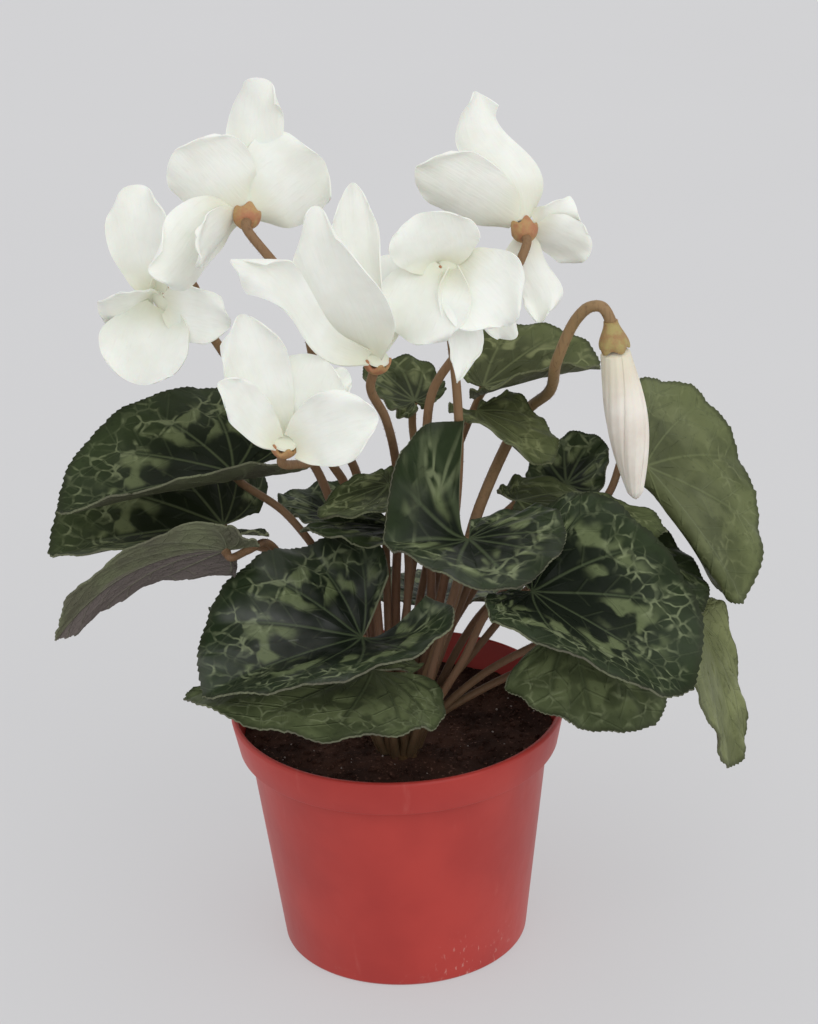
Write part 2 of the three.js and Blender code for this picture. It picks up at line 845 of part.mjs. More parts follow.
// Each flower's petals: tip is where a petal ends and face is where its inner side looks, along the
// flower's axis unless it is given. width is its greatest, at widest of the way along, and foot is the
// share of it at the petal's foot. end is how far the tip closes in, as an angle. bend turns the tip
// away from the face, cup raises the edges, twist turns the tip round the petal's length, and sway
// makes it run in an S.
const PETAL = { width: 28, foot: 0.4, widest: 0.6, end: 0.8, bend: 30, cup: 25, twist: 0, sway: 0 };
const BLOOMS = [
  {
    name: "flower_1",
    centre: [-44, -4, 282],
    axis: [0, 1, 0.15],
    neck: 5,
    root: [-3.7, 0],
    via: [
      [-10, 2, 146],
      [-15, 12, 172],
      [-21, 6, 188],
      [-28, -18, 257],
    ],
    petals: [
      { tip: [-38, 6, 327], width: 20, foot: 0.7, end: 0.6, twist: -30 },
      { tip: [-65, -4, 307], width: 32, foot: 0.5, widest: 0.55 },
      { tip: [-75, -28, 270], width: 28, foot: 0.4, end: 1.1, sway: 2 },
      { tip: [-60, -32, 277], width: 17 },
      { tip: [-18, 4, 298], width: 37, foot: 0.5, widest: 0.5 },
    ],
  },
  {
    name: "flower_2",
    centre: [-75, 2, 250],
    axis: [-0.6, -0.6, -0.2],
    root: [-7.4, 0],
    via: [
      [-14, 4, 140],
      [-22, 14, 170],
      [-29, 14, 186],
      [-58, 8, 232],
    ],
    petals: [
      { tip: [-82, 8, 290], face: [-0.3, -1, 0.1], width: 25, foot: 0.5 },
      { tip: [-85, -16, 227], face: [-0.5, -1, 0], width: 34, foot: 0.5 },
      { tip: [-51, -16, 249], face: [-0.1, -1, 0.1], width: 21, foot: 0.5, widest: 0.4 },
      { tip: [-96, -6, 253], width: 25 },
      { tip: [-66, 22, 264], bend: 50 },
    ],
  },
  {
    name: "flower_3",
    centre: [-2, -22, 235],
    axis: [0.2, -0.35, 0.9],
    root: [0, 0],
    via: [
      [1, -2, 136],
      [3, 14, 160],
      [3, 11, 180],
      [0, -4, 205],
    ],
    petals: [
      { tip: [-21, -34, 295], face: [-0.3, -1, 0.2], width: 32, foot: 0.5, widest: 0.4, end: 1.2, sway: -1 },
      { tip: [-8, -4, 292], face: [-0.3, -1, 0.2], width: 18, widest: 0.75 },
      { tip: [-48, -56, 285], face: [-0.2, -0.7, 0.7], width: 15, foot: 0.3, widest: 0.75, bend: 0, sway: 4 },
      { tip: [2, 6, 262], face: [0.2, -1, 0.2], width: 18 },
    ],
  },
  {
    name: "flower_4",
    centre: [24, -8, 263],
    axis: [0.1, -0.35, 0.93],
    root: [3.7, 0],
    via: [
      [15, -9, 130],
      [22, -2, 160],
      [25, -2.4, 190],
      [25, -2.4, 212],
    ],
    petals: [
      { tip: [9, -25, 242], face: [-0.5, -0.8, 0.3], width: 35, bend: 50, cup: 5, foot: 0.5, widest: 0.5 },
      { tip: [16, -16, 285], face: [0, -1, 0.3], width: 32, bend: 40, foot: 0.5 },
      { tip: [45, -30, 250], face: [0.2, -0.9, 0.3], width: 32, bend: 50, foot: 0.5, end: 1.1, twist: 20 },
      { tip: [25, -29, 228], face: [0.6, -0.8, 0.3], width: 17, foot: 0.6, end: 1.2, sway: -2 },
      { tip: [44, -8, 235], face: [0.3, -0.9, 0.3], width: 15 },
    ],
  },
  {
    name: "flower_5",
    centre: [50, 16, 266],
    axis: [-0.1, 0.9, 0.4],
    neck: 3,
    root: [5.6, 3.2],
    via: [
      [13, -5, 130],
      [14, 3, 168],
      [14, 6, 195],
      [17, 9, 210],
      [28, 9, 226],
      [39, 5, 241],
      [46, 4, 254],
    ],
    petals: [
      { tip: [34, 26, 312], face: [-0.1, 1, 0.2], width: 19, foot: 0.9, widest: 0.35, sway: 3, twist: 30 },
      { tip: [15, 6, 294], face: [-0.1, 1, 0.2], width: 26 },
      { tip: [70, 20, 266], width: 17, foot: 0.7 },
      { tip: [72, 14, 255], width: 19, foot: 0.6 },
      { tip: [55, 0, 238], width: 15, foot: 0.8, sway: 2 },
    ],
  },
  {
    name: "flower_6",
    centre: [-34, -44, 215],
    axis: [0.15, -0.35, 0.9],
    neck: 5,
    root: [-3.7, -6.4],
    via: [
      [-6, -8, 138],
      [-9, 11, 166],
      [-14, 4, 188],
      [-28, -28, 200],
    ],
    petals: [
      { tip: [-47, -46, 262], face: [0.4, -1, 0.2], width: 24, foot: 0.5, bend: 0 },
      { tip: [-22, -36, 243], face: [-0.1, -1, 0.3], width: 30, foot: 0.5, cup: 10 },
      { tip: [-3, -56, 231], face: [0, -1, 0.4], width: 26, foot: 0.4, end: 0.9 },
      { tip: [-53, -60, 245], face: [0.7, -0.7, 0.2], width: 16, foot: 0.6, bend: 0 },
      { tip: [-12, -34, 236], face: [-0.4, -1, 0.3], width: 16 },
    ],
  },
];

const BUD = {
  centre: [79.5, -4, 228],
  axis: [0.12, -0.03, -1],
  root: [3.7, -6.4],
  via: [
    [21, -13, 138],
    [32, 8, 165],
    [49, 34, 188],
    [58, 20, 203],
    [60, 6, 220],
    [66.5, 1, 237],
    [71.5, -2, 243],
    [75.5, -4, 243.5],
  ],
  neck: 1,
  steps: BUD_STALK_STEPS,
  radius: 7.2,
  length: 57,
  twist: 120,
};

// The assembly

const plant = new THREE.Group();
function addPiece(name, geometry, material) {
  const piece = new THREE.Mesh(weld(geometry), material.clone());
  piece.name = name;
  plant.add(piece);
}

addPiece("pot", potGeometry(), MATERIALS.pot);
addPiece("soil", soilGeometry(), MATERIALS.soil);
addPiece("crown", crownGeometry(), MATERIALS.crown);
for (const row of LEAVES) {
  const leaf = { ...LEAF, ...row };
  addPiece(`${leaf.name}_blade`, bladeGeometry(leaf), MATERIALS.leaf);
  addPiece(`${leaf.name}_stalk`, leafStalkGeometry(leaf), MATERIALS.stalk);
}
for (const row of BLOOMS) {
  const petals = row.petals.map((petal) => ({ ...PETAL, ...petal }));
  const bloom = { neck: NECK, steps: FLOWER_STALK_STEPS, ...row, petals };
  addPiece(`${bloom.name}_petals`, flowerGeometry(bloom), MATERIALS.petal);
  addPiece(`${bloom.name}_stalk`, flowerStalkGeometry(bloom), MATERIALS.stalk);
}
addPiece("bud_petals", budGeometry(BUD), MATERIALS.petal);
addPiece("bud_stalk", flowerStalkGeometry(BUD, BUD_CALYX_RADIUS, BUD_CALYX_LENGTH), MATERIALS.stalk);

export default plant;
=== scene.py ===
import math
import random
from dataclasses import dataclass

import bmesh
import bpy
from mathutils import Matrix, Vector, noise


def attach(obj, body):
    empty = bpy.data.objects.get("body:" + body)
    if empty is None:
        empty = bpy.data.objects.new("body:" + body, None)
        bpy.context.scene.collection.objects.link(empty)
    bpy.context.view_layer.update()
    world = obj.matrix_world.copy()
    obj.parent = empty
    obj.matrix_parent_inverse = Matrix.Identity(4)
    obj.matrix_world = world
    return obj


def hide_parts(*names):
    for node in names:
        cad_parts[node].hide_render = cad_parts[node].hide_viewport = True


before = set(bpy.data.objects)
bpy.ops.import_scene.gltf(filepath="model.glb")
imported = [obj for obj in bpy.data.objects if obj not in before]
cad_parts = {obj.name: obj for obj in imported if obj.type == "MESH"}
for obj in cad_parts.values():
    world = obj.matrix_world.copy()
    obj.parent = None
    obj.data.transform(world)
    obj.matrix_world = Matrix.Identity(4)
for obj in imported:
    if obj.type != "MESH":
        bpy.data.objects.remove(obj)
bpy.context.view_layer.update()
MM = 0.001  # every size below is in millimetres, and a piece's mesh becomes metres when it is finished

# Camera
# The photograph looks down on the plant from in front, with a long lens and a slight tilt.
PHOTO_HEIGHT = 1024
FOCAL_LENGTH = 3764.5  # in pixels of the photograph
CAMERA_ELEVATION = math.radians(25.0)
CAMERA_ROLL = math.radians(-2.2)
CAMERA_AIM = Vector((6.8, 0, 167.3))
CAMERA_DISTANCE = 1322

camera_back = Vector((0, -math.cos(CAMERA_ELEVATION), math.sin(CAMERA_ELEVATION)))
level = Vector((1, 0, 0))
upright = camera_back.cross(level)
camera_right = level * math.cos(CAMERA_ROLL) + upright * math.sin(CAMERA_ROLL)
camera_up = upright * math.cos(CAMERA_ROLL) - level * math.sin(CAMERA_ROLL)
camera = bpy.data.objects.new("camera", bpy.data.cameras.new("camera"))
bpy.context.scene.collection.objects.link(camera)
camera.data.lens = camera.data.sensor_width * FOCAL_LENGTH / PHOTO_HEIGHT
camera_turn = Matrix((camera_right, camera_up, camera_back)).transposed()
camera_place = Matrix.Translation((CAMERA_AIM + camera_back * CAMERA_DISTANCE) * MM)
camera.matrix_world = camera_place @ camera_turn.to_4x4()
bpy.context.scene.camera = camera


# Studio
# A plain pale floor that runs on out of view, an even pale room, and one wide soft light from the
# front right, which leaves a soft shadow to the left of the pot.


def linear(red, green, blue):
    """A screen colour, from 0 to 255, as the linear colour that a shader takes."""
    levels = [value / 255 for value in (red, green, blue)]
    return (*[v / 12.92 if v <= 0.04045 else ((v + 0.055) / 1.055) ** 2.4 for v in levels], 1.0)


FLOOR_SIZE = 8.0  # metres
PAPER_DARK = linear(138, 138, 139)
PAPER_LIGHT = linear(142, 142, 143)
PAPER_CLOUD = 160  # the size of its faint clouds
PAPER_GLOW = linear(168, 168, 169)  # light through the paper, which keeps the shadow faint
ROOM_COLOUR = linear(252, 252, 254)
ROOM_LIGHT = 0.78
KEY_STRENGTH = 0.75
KEY_SPREAD = math.radians(60)
KEY_FROM = Vector((0.45, -0.9, 0.9))


class Value:
    """What varies over a surface. An operator on a number adds the Math node that works it out."""

    def __init__(self, paint, socket):
        self.paint = paint
        self.socket = socket

    def math(self, operation, *values):
        return self.paint.node("ShaderNodeMath", {"operation": operation}, dict(enumerate(values)))

    def __add__(self, other):
        return self.math("ADD", self, other)

    def __sub__(self, other):
        return self.math("SUBTRACT", self, other)

    def __rsub__(self, other):
        return self.math("SUBTRACT", other, self)

    def __mul__(self, other):
        return self.math("MULTIPLY", self, other)

    def __truediv__(self, other):
        return self.math("DIVIDE", self, other)

    def __rtruediv__(self, other):
        return self.math("DIVIDE", other, self)

    def __abs__(self):
        return self.math("ABSOLUTE", self)

    __radd__ = __add__
    __rmul__ = __mul__

    def nearest(self):
        """The nearest whole number."""
        return self.math("ROUND", self)

    def root(self):
        return self.math("SQRT", self)

    def turn_to(self, other):
        """The angle, in radians, whose sine and cosine go as this number and the other one."""
        return self.math("ARCTAN2", self, other)

    def rises(self, low, high):
        """0 below low and 1 above high, with a smooth rise between; high may be the lower one."""
        settings = {"interpolation_type": "SMOOTHSTEP"}
        sockets = {"Value": self, "From Min": low, "From Max": high}
        return self.paint.node("ShaderNodeMapRange", settings, sockets)


class Paint:
    """A material and its nodes."""

    def __init__(self, name, **surface):
        self.material = bpy.data.materials.new(name)
        self.material.use_nodes = True
        self.tree = self.material.node_tree
        self.shader = self.tree.nodes["Principled BSDF"]
        self.surface(**surface)

    def surface(self, **sockets):
        """Feeds the shader's sockets, whose names are written with _, and gives the material back."""
        for name, value in sockets.items():
            self.feed(self.shader.inputs[name.replace("_", " ")], value)
        return self.material

    def feed(self, socket, value):
        if isinstance(value, Value):
            self.tree.links.new(value.socket, socket)
        else:
            socket.default_value = value

    def node(self, kind, settings=None, sockets=None, output=0):
        """Adds a node, sets it up, feeds its sockets, and gives back one of its outputs."""
        made = self.tree.nodes.new(kind)
        for name, value in (settings or {}).items():
            setattr(made, name, value)
        for name, value in (sockets or {}).items():
            self.feed(made.inputs[name], value)
        return Value(self, made.outputs[output])

    def place(self):
        """The place on the object, in millimetres."""
        coordinates = self.node("ShaderNodeTexCoord", output="Object")
        return self.stretched(coordinates, (1 / MM, 1 / MM, 1 / MM))

    def attribute(self, name):
        """The vector that the mesh carries under this name."""
        return self.node("ShaderNodeAttribute", {"attribute_name": name}, output="Vector")

    def split(self, vector):
        """The three numbers of a vector."""
        outputs = self.node("ShaderNodeSeparateXYZ", {}, {0: vector}).socket.node.outputs
        return [Value(self, outputs[axis]) for axis in "XYZ"]

    def vector_math(self, operation, *vectors):
        return self.node("ShaderNodeVectorMath", {"operation": operation}, dict(enumerate(vectors)))

    def stretched(self, vector, factors):
        """The vector with each of its numbers multiplied by its own factor."""
        return self.vector_math("MULTIPLY", vector, factors)

    def warped(self, vector, size, reach):
        """The vector moved about, by up to this many millimetres, in waves of about this size."""
        sockets = {"Vector": vector, "Scale": 1 / size, "Detail": 2.0}
        wave = self.node("ShaderNodeTexNoise", {}, sockets, output="Color")
        to_and_fro = self.vector_math("SUBTRACT", wave, (0.5, 0.5, 0.5))
        return self.vector_math("MULTIPLY_ADD", to_and_fro, (reach, reach, 0), vector)

    def mottle(self, vector, size, detail=3.0):
        """Soft noise from 0 to 1 with patches of about this size."""
        sockets = {"Vector": vector, "Scale": 1 / size, "Detail": detail}
        return self.node("ShaderNodeTexNoise", {}, sockets)

    def cells(self, vector, size):
        """The distance to the threads of a net whose meshes are of about this size."""
        sockets = {"Vector": vector, "Scale": 1 / size}
        return self.node("ShaderNodeTexVoronoi", {"feature": "DISTANCE_TO_EDGE"}, sockets)

    def mix(self, factor, low, high):
        """The colour low where factor is 0 and high where it is 1."""
        return self.node("ShaderNodeMix", {"data_type": "RGBA"}, {0: factor, 6: low, 7: high}, output=2)

    def bump(self, height, distance):
        """Surface relief: height from 0 to 1 stands for this many millimetres."""
        return self.node("ShaderNodeBump", {}, {"Distance": distance * MM, "Height": height})


def studio_floor():
    sheet = bmesh.new()
    bmesh.ops.create_grid(sheet, x_segments=1, y_segments=1, size=FLOOR_SIZE / 2)
    mesh = bpy.data.meshes.new("floor")
    sheet.to_mesh(mesh)
    sheet.free()
    paper = Paint("studio paper", Roughness=0.9, Specular_IOR_Level=0.2)
    cloud = paper.mottle(paper.place(), PAPER_CLOUD)
    paper.surface(Base_Color=paper.mix(cloud, PAPER_DARK, PAPER_LIGHT), Emission_Color=PAPER_GLOW,
                  Emission_Strength=1.0)
    mesh.materials.append(paper.material)
    floor = bpy.data.objects.new("floor", mesh)
    bpy.context.scene.collection.objects.link(floor)


def studio_light():
    world = bpy.data.worlds.new("room")
    world.use_nodes = True
    room = world.node_tree.nodes["Background"]
    room.inputs["Color"].default_value = ROOM_COLOUR
    room.inputs["Strength"].default_value = ROOM_LIGHT
    bpy.context.scene.world = world
    key = bpy.data.lights.new("key", "SUN")
    key.energy = KEY_STRENGTH
    key.angle = KEY_SPREAD
    lamp = bpy.data.objects.new("key", key)
    lamp.rotation_mode = "QUATERNION"
    lamp.rotation_quaternion = KEY_FROM.to_track_quat("Z", "Y")
    bpy.context.scene.collection.objects.link(lamp)
    bpy.context.scene.view_settings.view_transform = "Standard"


studio_floor()
studio_light()


# Pot
# A thin 12 cm nursery pot, moulded in one piece from brick-red plastic: a tapered body, a deep rim
# band that stands out over a small step, and four drain holes in the base.
POT_HEIGHT = 91.6
POT_BASE_RADIUS = 44.2
POT_NECK_RADIUS = 53.8
POT_RIM_RADIUS = 60
BAND_HEIGHT = 14
NECK_HEIGHT = POT_HEIGHT - BAND_HEIGHT
BAND_LOW_RADIUS = 57.4
BAND_STEP = 0.4  # how far the underside of the band rises outwards
LEDGE = (0.6, 2)  # the two edges of the ledge inside the band, above the neck
POT_WALL = 1.6
FOOT_CUT = 1  # the slope at the edge of the base
LIP_CUT = (0.6, 1)  # the slope at the outer edge of the rim, across and down
LIP_EXTRA = 0.4  # how much thicker the rim's lip is than the wall
DRAIN_RADIUS = 4
DRAIN_REACH = 24
DRAIN_COUNT = 4
DRAIN_STEPS = 32
DRILL_LENGTH = 10
POT_STEPS = 180
POT_EDGE = 0.45  # rounding of the moulded edges
MOULDED_ANGLE = math.radians(14)  # what bends more than this is such an edge
SHARP_EDGE = math.radians(35)  # what bends more than this isn't shaded as smooth
SCUFF_MIDDLE = 24  # to the right, on the front
SCUFF_HEIGHT = 24
POT_DARK = linear(174, 56, 50)
POT_LIGHT = linear(188, 64, 56)
POT_HANDLED = linear(205, 120, 110)
POT_SCUFFED = linear(216, 178, 166)
POT_DUSTY = linear(206, 160, 148)


def spun(profile, steps):
    """A closed shape turned about Z, from a profile of (radius, height) that starts and ends on Z."""
    shape = bmesh.new()
    line = [shape.verts.new((radius, 0, height)) for radius, height in profile]
    edges = [shape.edges.new(pair) for pair in zip(line, line[1:])]
    bmesh.ops.spin(shape, geom=line + edges, axis=(0, 0, 1), cent=(0, 0, 0), angle=2 * math.pi,
                   steps=steps, use_merge=True)
    bmesh.ops.remove_doubles(shape, verts=shape.verts, dist=0.001)
    bmesh.ops.recalc_face_normals(shape, faces=shape.faces)
    return shape


def finish_mesh(shape, name, sharp=SHARP_EDGE):
    """The bmesh as a smooth-shaded mesh in metres."""
    mesh = bpy.data.meshes.new(name)
    shape.to_mesh(mesh)
    shape.free()
    mesh.transform(Matrix.Scale(MM, 4))
    mesh.shade_smooth()
    mesh.set_sharp_from_angle(angle=sharp)
    return mesh


def add_piece(name, mesh, node, slot, *materials):
    """Puts a finished mesh in the scene, in place of the CAD node that it stands for."""
    for material in materials:
        mesh.materials.append(material)
    piece = bpy.data.objects.new(name, mesh)
    bpy.context.scene.collection.objects.link(piece)
    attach(piece, "root")
    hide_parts(node)
    return piece


def modified(piece):
    """Applies the piece's modifiers to its mesh."""
    view = bpy.context.evaluated_depsgraph_get()
    mesh = bpy.data.meshes.new_from_object(piece.evaluated_get(view))
    piece.modifiers.clear()
    piece.data = mesh
    return mesh


def pot_shape():
    outside = [
        (0, 0),
        (POT_BASE_RADIUS - FOOT_CUT, 0),
        (POT_BASE_RADIUS, FOOT_CUT),
        (POT_NECK_RADIUS, NECK_HEIGHT),
        (BAND_LOW_RADIUS, NECK_HEIGHT + BAND_STEP),
        (POT_RIM_RADIUS, POT_HEIGHT - LIP_CUT[1]),
        (POT_RIM_RADIUS - LIP_CUT[0], POT_HEIGHT),
    ]
    inside = [
        (POT_RIM_RADIUS - POT_WALL - LIP_EXTRA, POT_HEIGHT),
        (BAND_LOW_RADIUS - POT_WALL, NECK_HEIGHT + LEDGE[1]),
        (POT_NECK_RADIUS - POT_WALL, NECK_HEIGHT + LEDGE[0]),
        (POT_BASE_RADIUS - POT_WALL, POT_WALL),
        (0, POT_WALL),
    ]
    shape = spun(outside + inside, POT_STEPS)
    moulded = [edge for edge in shape.edges if edge.calc_face_angle(0) > MOULDED_ANGLE]
    bmesh.ops.bevel(shape, geom=moulded, affect="EDGES", offset=POT_EDGE, segments=3, profile=0.5,
                    material=-1, clamp_overlap=True)
    return shape


def drill_drains(piece):
    drills = bmesh.new()
    for k in range(DRAIN_COUNT):
        angle = 2 * math.pi * (k + 0.5) / DRAIN_COUNT
        place = Matrix.Translation((DRAIN_REACH * math.cos(angle), DRAIN_REACH * math.sin(angle), 0))
        bmesh.ops.create_cone(drills, cap_ends=True, segments=DRAIN_STEPS, radius1=DRAIN_RADIUS,
                              radius2=DRAIN_RADIUS, depth=DRILL_LENGTH, matrix=place)
    tool = bpy.data.objects.new("drills", finish_mesh(drills, "drills"))
    bpy.context.scene.collection.objects.link(tool)
    cut = piece.modifiers.new("drains", "BOOLEAN")
    cut.object = tool
    cut.operation = "DIFFERENCE"
    cut.solver = "EXACT"
    modified(piece)
    bpy.data.objects.remove(tool)


def pot_plastic():
    paint = Paint("brick-red plastic", Specular_IOR_Level=0.3)
    place = paint.place()
    x, y, height = paint.split(place)
    cloud = paint.mottle(place, 34)
    colour = paint.mix(cloud.rises(0.3, 0.7), POT_DARK, POT_LIGHT)
    handling = paint.mottle(paint.stretched(place, (1, 1, 0.25)), 5, detail=6)
    colour = paint.mix(handling.rises(0.62, 0.86) * 0.25, colour, POT_HANDLED)
    dust = paint.mottle(place, 3.2, detail=8)
    low = height.rises(SCUFF_HEIGHT, 3) * abs(x - SCUFF_MIDDLE).rises(18, 5) * y.rises(0, -12)
    scratch = paint.mottle(paint.stretched(place, (1.0, 1.0, 0.35)), 1.3, detail=6).rises(0.6, 0.72)
    colour = paint.mix(scratch * low * 0.7, colour, POT_SCUFFED)
    colour = paint.mix(dust.rises(0.6, 0.85) * height.rises(7, 1) * 0.4, colour, POT_DUSTY)
    return paint.surface(
        Base_Color=colour,
        Roughness=0.36 + 0.12 * handling + 0.2 * dust.rises(0.5, 0.8) * low,
        Normal=paint.bump(paint.mottle(place, 7, detail=2), 0.12),
    )


pot = add_piece("pot_shell", finish_mesh(pot_shape(), "pot_shell"), "pot", "pot", pot_plastic())
drill_drains(pot)


# Soil
# Peat compost pressed in up to the rim's inner ledge: a dark uneven bed strewn with loose crumbs,
# a few of them pale grit.
SOIL_TOP = 80.5
SOIL_RADIUS = 55.4
SOIL_LOW_RADIUS = 42.3
SOIL_FOOT = 3
SOIL_WAIST = (2.4, 1)  # how far inside the pot's neck the soil starts to widen, and how far above it
LUMP = (1.6, 16)  # how high the soil's lumps are, and how wide
SMALL_LUMP = (0.55, 3.2)
HEAP = (1.6, 260)  # the soil heaped up to the crown: its height, and its spread in square millimetres
SOIL_RINGS = 44
SOIL_STEPS = 150
CRUMB_COUNT = 1500
GRIT_COUNT = 60
CRUMB_SIZE = (0.3, 1.1)  # the smallest, and how much more the largest has
CRUMB_RARITY = 2.5  # the higher, the fewer the large crumbs
GRIT_SIZE = (0.25, 0.6)
SOIL_SHARP_EDGE = math.radians(60)
CROWN_AT = Vector((0, -15, 0))
PEAT_DARK = linear(52, 35, 29)
PEAT_LIGHT = linear(80, 55, 45)
PEAT_FLECK = linear(128, 96, 84)
GRIT_DARK = linear(120, 104, 100)
GRIT_LIGHT = linear(196, 188, 182)


def soil_height(x, y):
    coarse = noise.fractal(Vector((x, y, 0)) / LUMP[1], 1.0, 2.0, 3)
    fine = noise.fractal(Vector((x, y, 9)) / SMALL_LUMP[1], 1.0, 2.0, 3)
    heap = HEAP[0] * math.exp(-((x - CROWN_AT.x) ** 2 + (y - CROWN_AT.y) ** 2) / HEAP[1])
    return SOIL_TOP + LUMP[0] * coarse + SMALL_LUMP[0] * fine + heap


def soil_shape(crumbs):
    waist = (POT_NECK_RADIUS - SOIL_WAIST[0], NECK_HEIGHT + SOIL_WAIST[1])
    rings = [(SOIL_RADIUS * (1 - k / SOIL_RINGS), SOIL_TOP) for k in range(SOIL_RINGS + 1)]
    shape = spun([(0, SOIL_FOOT), (SOIL_LOW_RADIUS, SOIL_FOOT), waist] + rings, SOIL_STEPS)
    for vert in shape.verts:
        if vert.co.z > SOIL_TOP - 0.01:
            vert.co.z = soil_height(vert.co.x, vert.co.y)
    for k in range(CRUMB_COUNT + GRIT_COUNT):
        grit = k >= CRUMB_COUNT
        reach = (SOIL_RADIUS - 2) * math.sqrt(crumbs.random())
        angle = crumbs.uniform(0, 2 * math.pi)
        x, y = reach * math.cos(angle), reach * math.sin(angle)
        if grit:
            size = crumbs.uniform(*GRIT_SIZE)
        else:
            size = CRUMB_SIZE[0] + CRUMB_SIZE[1] * crumbs.random() ** CRUMB_RARITY
        turn = Matrix.Rotation(crumbs.uniform(0, 6.28), 4, Vector((crumbs.random(), crumbs.random(), 1)))
        squash = Matrix.Diagonal((size, size * crumbs.uniform(0.6, 1), size * crumbs.uniform(0.5, 0.8), 1))
        place = Matrix.Translation((x, y, soil_height(x, y) + size * 0.25))
        made = bmesh.ops.create_icosphere(shape, subdivisions=1, radius=1, matrix=place @ turn @ squash)
        for vert in made["verts"]:
            for face in vert.link_faces:
                face.material_index = int(grit)
    return shape


def compost():
    paint = Paint("damp peat compost", Roughness=0.95, Specular_IOR_Level=0.15)
    place = paint.place()
    fleck = paint.mottle(place, 1.3, detail=6)
    cloud = paint.mottle(place, 14)
    colour = paint.mix(cloud.rises(0.35, 0.7), PEAT_DARK, PEAT_LIGHT)
    colour = paint.mix(fleck.rises(0.58, 0.75), colour, PEAT_FLECK)
    return paint.surface(Base_Color=colour, Normal=paint.bump(paint.mottle(place, 0.9, detail=8), 0.5))


def grit_stone():
    paint = Paint("pale grit", Roughness=0.7)
    shade = paint.mottle(paint.place(), 2.5)
    return paint.surface(Base_Color=paint.mix(shade, GRIT_DARK, GRIT_LIGHT))


soil_mesh = finish_mesh(soil_shape(random.Random(4)), "soil_bed", sharp=SOIL_SHARP_EDGE)
add_piece("soil_bed", soil_mesh, "soil", "soil", compost(), grit_stone())


# Crown
# The top of the corm, a short woody trunk that every stalk grows from: brown, knobbly and ribbed
# with the scars of old stalks.
CROWN_FOOT = 62
CROWN_TOP = 83.5
CROWN_RADIUS = 7.5
CROWN_FLARE = 0.32  # how much wider it gets towards its top
CROWN_SPREAD = 0.35  # and, more suddenly, at its foot
CROWN_DOME = 0.75  # the share of its height where its top begins to round off
CROWN_RIBS = 13
CROWN_RIB = 0.07  # the depth of its ribs, as a share of its radius
CROWN_KNOB = 0.16
CROWN_LEVELS = 18
CROWN_STEPS = 72
BARK_DARK = linear(48, 32, 22)
BARK_LIGHT = linear(84, 62, 36)
BARK_GRAIN = linear(46, 30, 22)


def crown_shape():
    profile = [(0, CROWN_FOOT), (CROWN_RADIUS * 0.8, CROWN_FOOT)]
    for k in range(CROWN_LEVELS + 1):
        t = k / CROWN_LEVELS
        flare = 1 + CROWN_FLARE * t + CROWN_SPREAD * (1 - t) ** 4
        radius = CROWN_RADIUS * flare * math.sqrt(max(0, 1 - max(0, t - CROWN_DOME) ** 2 * 12))
        profile.append((radius, CROWN_FOOT + 2 + (CROWN_TOP - CROWN_FOOT - 2) * t))
    profile.append((0, CROWN_TOP))
    shape = spun(profile, CROWN_STEPS)
    for vert in shape.verts:
        angle = math.atan2(vert.co.y, vert.co.x)
        rib = CROWN_RIB * math.cos(CROWN_RIBS * angle + 0.06 * vert.co.z)
        knob = CROWN_KNOB * noise.fractal(vert.co / 5.5, 1.0, 2.0, 3)
        vert.co.xy *= 1 + rib + knob
    bmesh.ops.translate(shape, verts=shape.verts, vec=CROWN_AT)
    return shape


def corm_bark():
    paint = Paint("corm bark", Specular_IOR_Level=0.25)
    place = paint.place()
    grain = paint.mottle(paint.stretched(place, (1, 1, 0.3)), 1.4, detail=6)
    patch = paint.mottle(place, 6)
    colour = paint.mix(patch.rises(0.35, 0.65), BARK_DARK, BARK_LIGHT)
    colour = paint.mix(grain.rises(0.5, 0.75) * 0.6, colour, BARK_GRAIN)
    return paint.surface(
        Base_Color=colour,
        Roughness=0.6 + 0.25 * grain,
        Normal=paint.bump(grain, 0.6),
    )


add_piece("crown_trunk", finish_mesh(crown_shape(), "crown_trunk"), "crown", "crown", corm_bark())


# Stalks of the leaves
# Long juicy stalks, round and finely downy. They leave the trunk close together, spread, and turn
# up under their blades. Their skin is brown, and darker and greener near the soil.
STALK_FOOT = 79
STALK_GATHER = 0.5  # the stalks' feet on the trunk, as a share of their places higher up
ROOT_HEIGHT = 84.8  # where the stalks stand clear of the crown
STALK_RISE = 6  # from there to the end of their straight first piece
STALK_LEAD = 8
STALK_ENTRY = 0.8  # how steeply a stalk comes up into its blade, against its lean
LEAF_STALK_RADIUS = 1.4
LEAF_STALK_FOOT = (0.45, 12)  # how much wider it is at its foot, and how suddenly
LEAF_STALK_HEAD = (0.3, 30)
BLADE_CLEARANCE = 1.85  # from the blade's middle surface down to where its stalk meets it
BLADE_GRIP = 1.1  # and how far the stalk goes on into the blade
CURVE_STEPS = 9  # between two points of a stalk's path
STALK_ROUNDNESS = 4  # how fine a stalk's round section is
HAIRS_PER_MM = 3
HAIR_LENGTH = (0.35, 0.8)
HAIR_RADIUS = 0.06
HAIR_LEAN = 0.3  # towards the stalk's end
STALK_STREAK = linear(86, 62, 48)


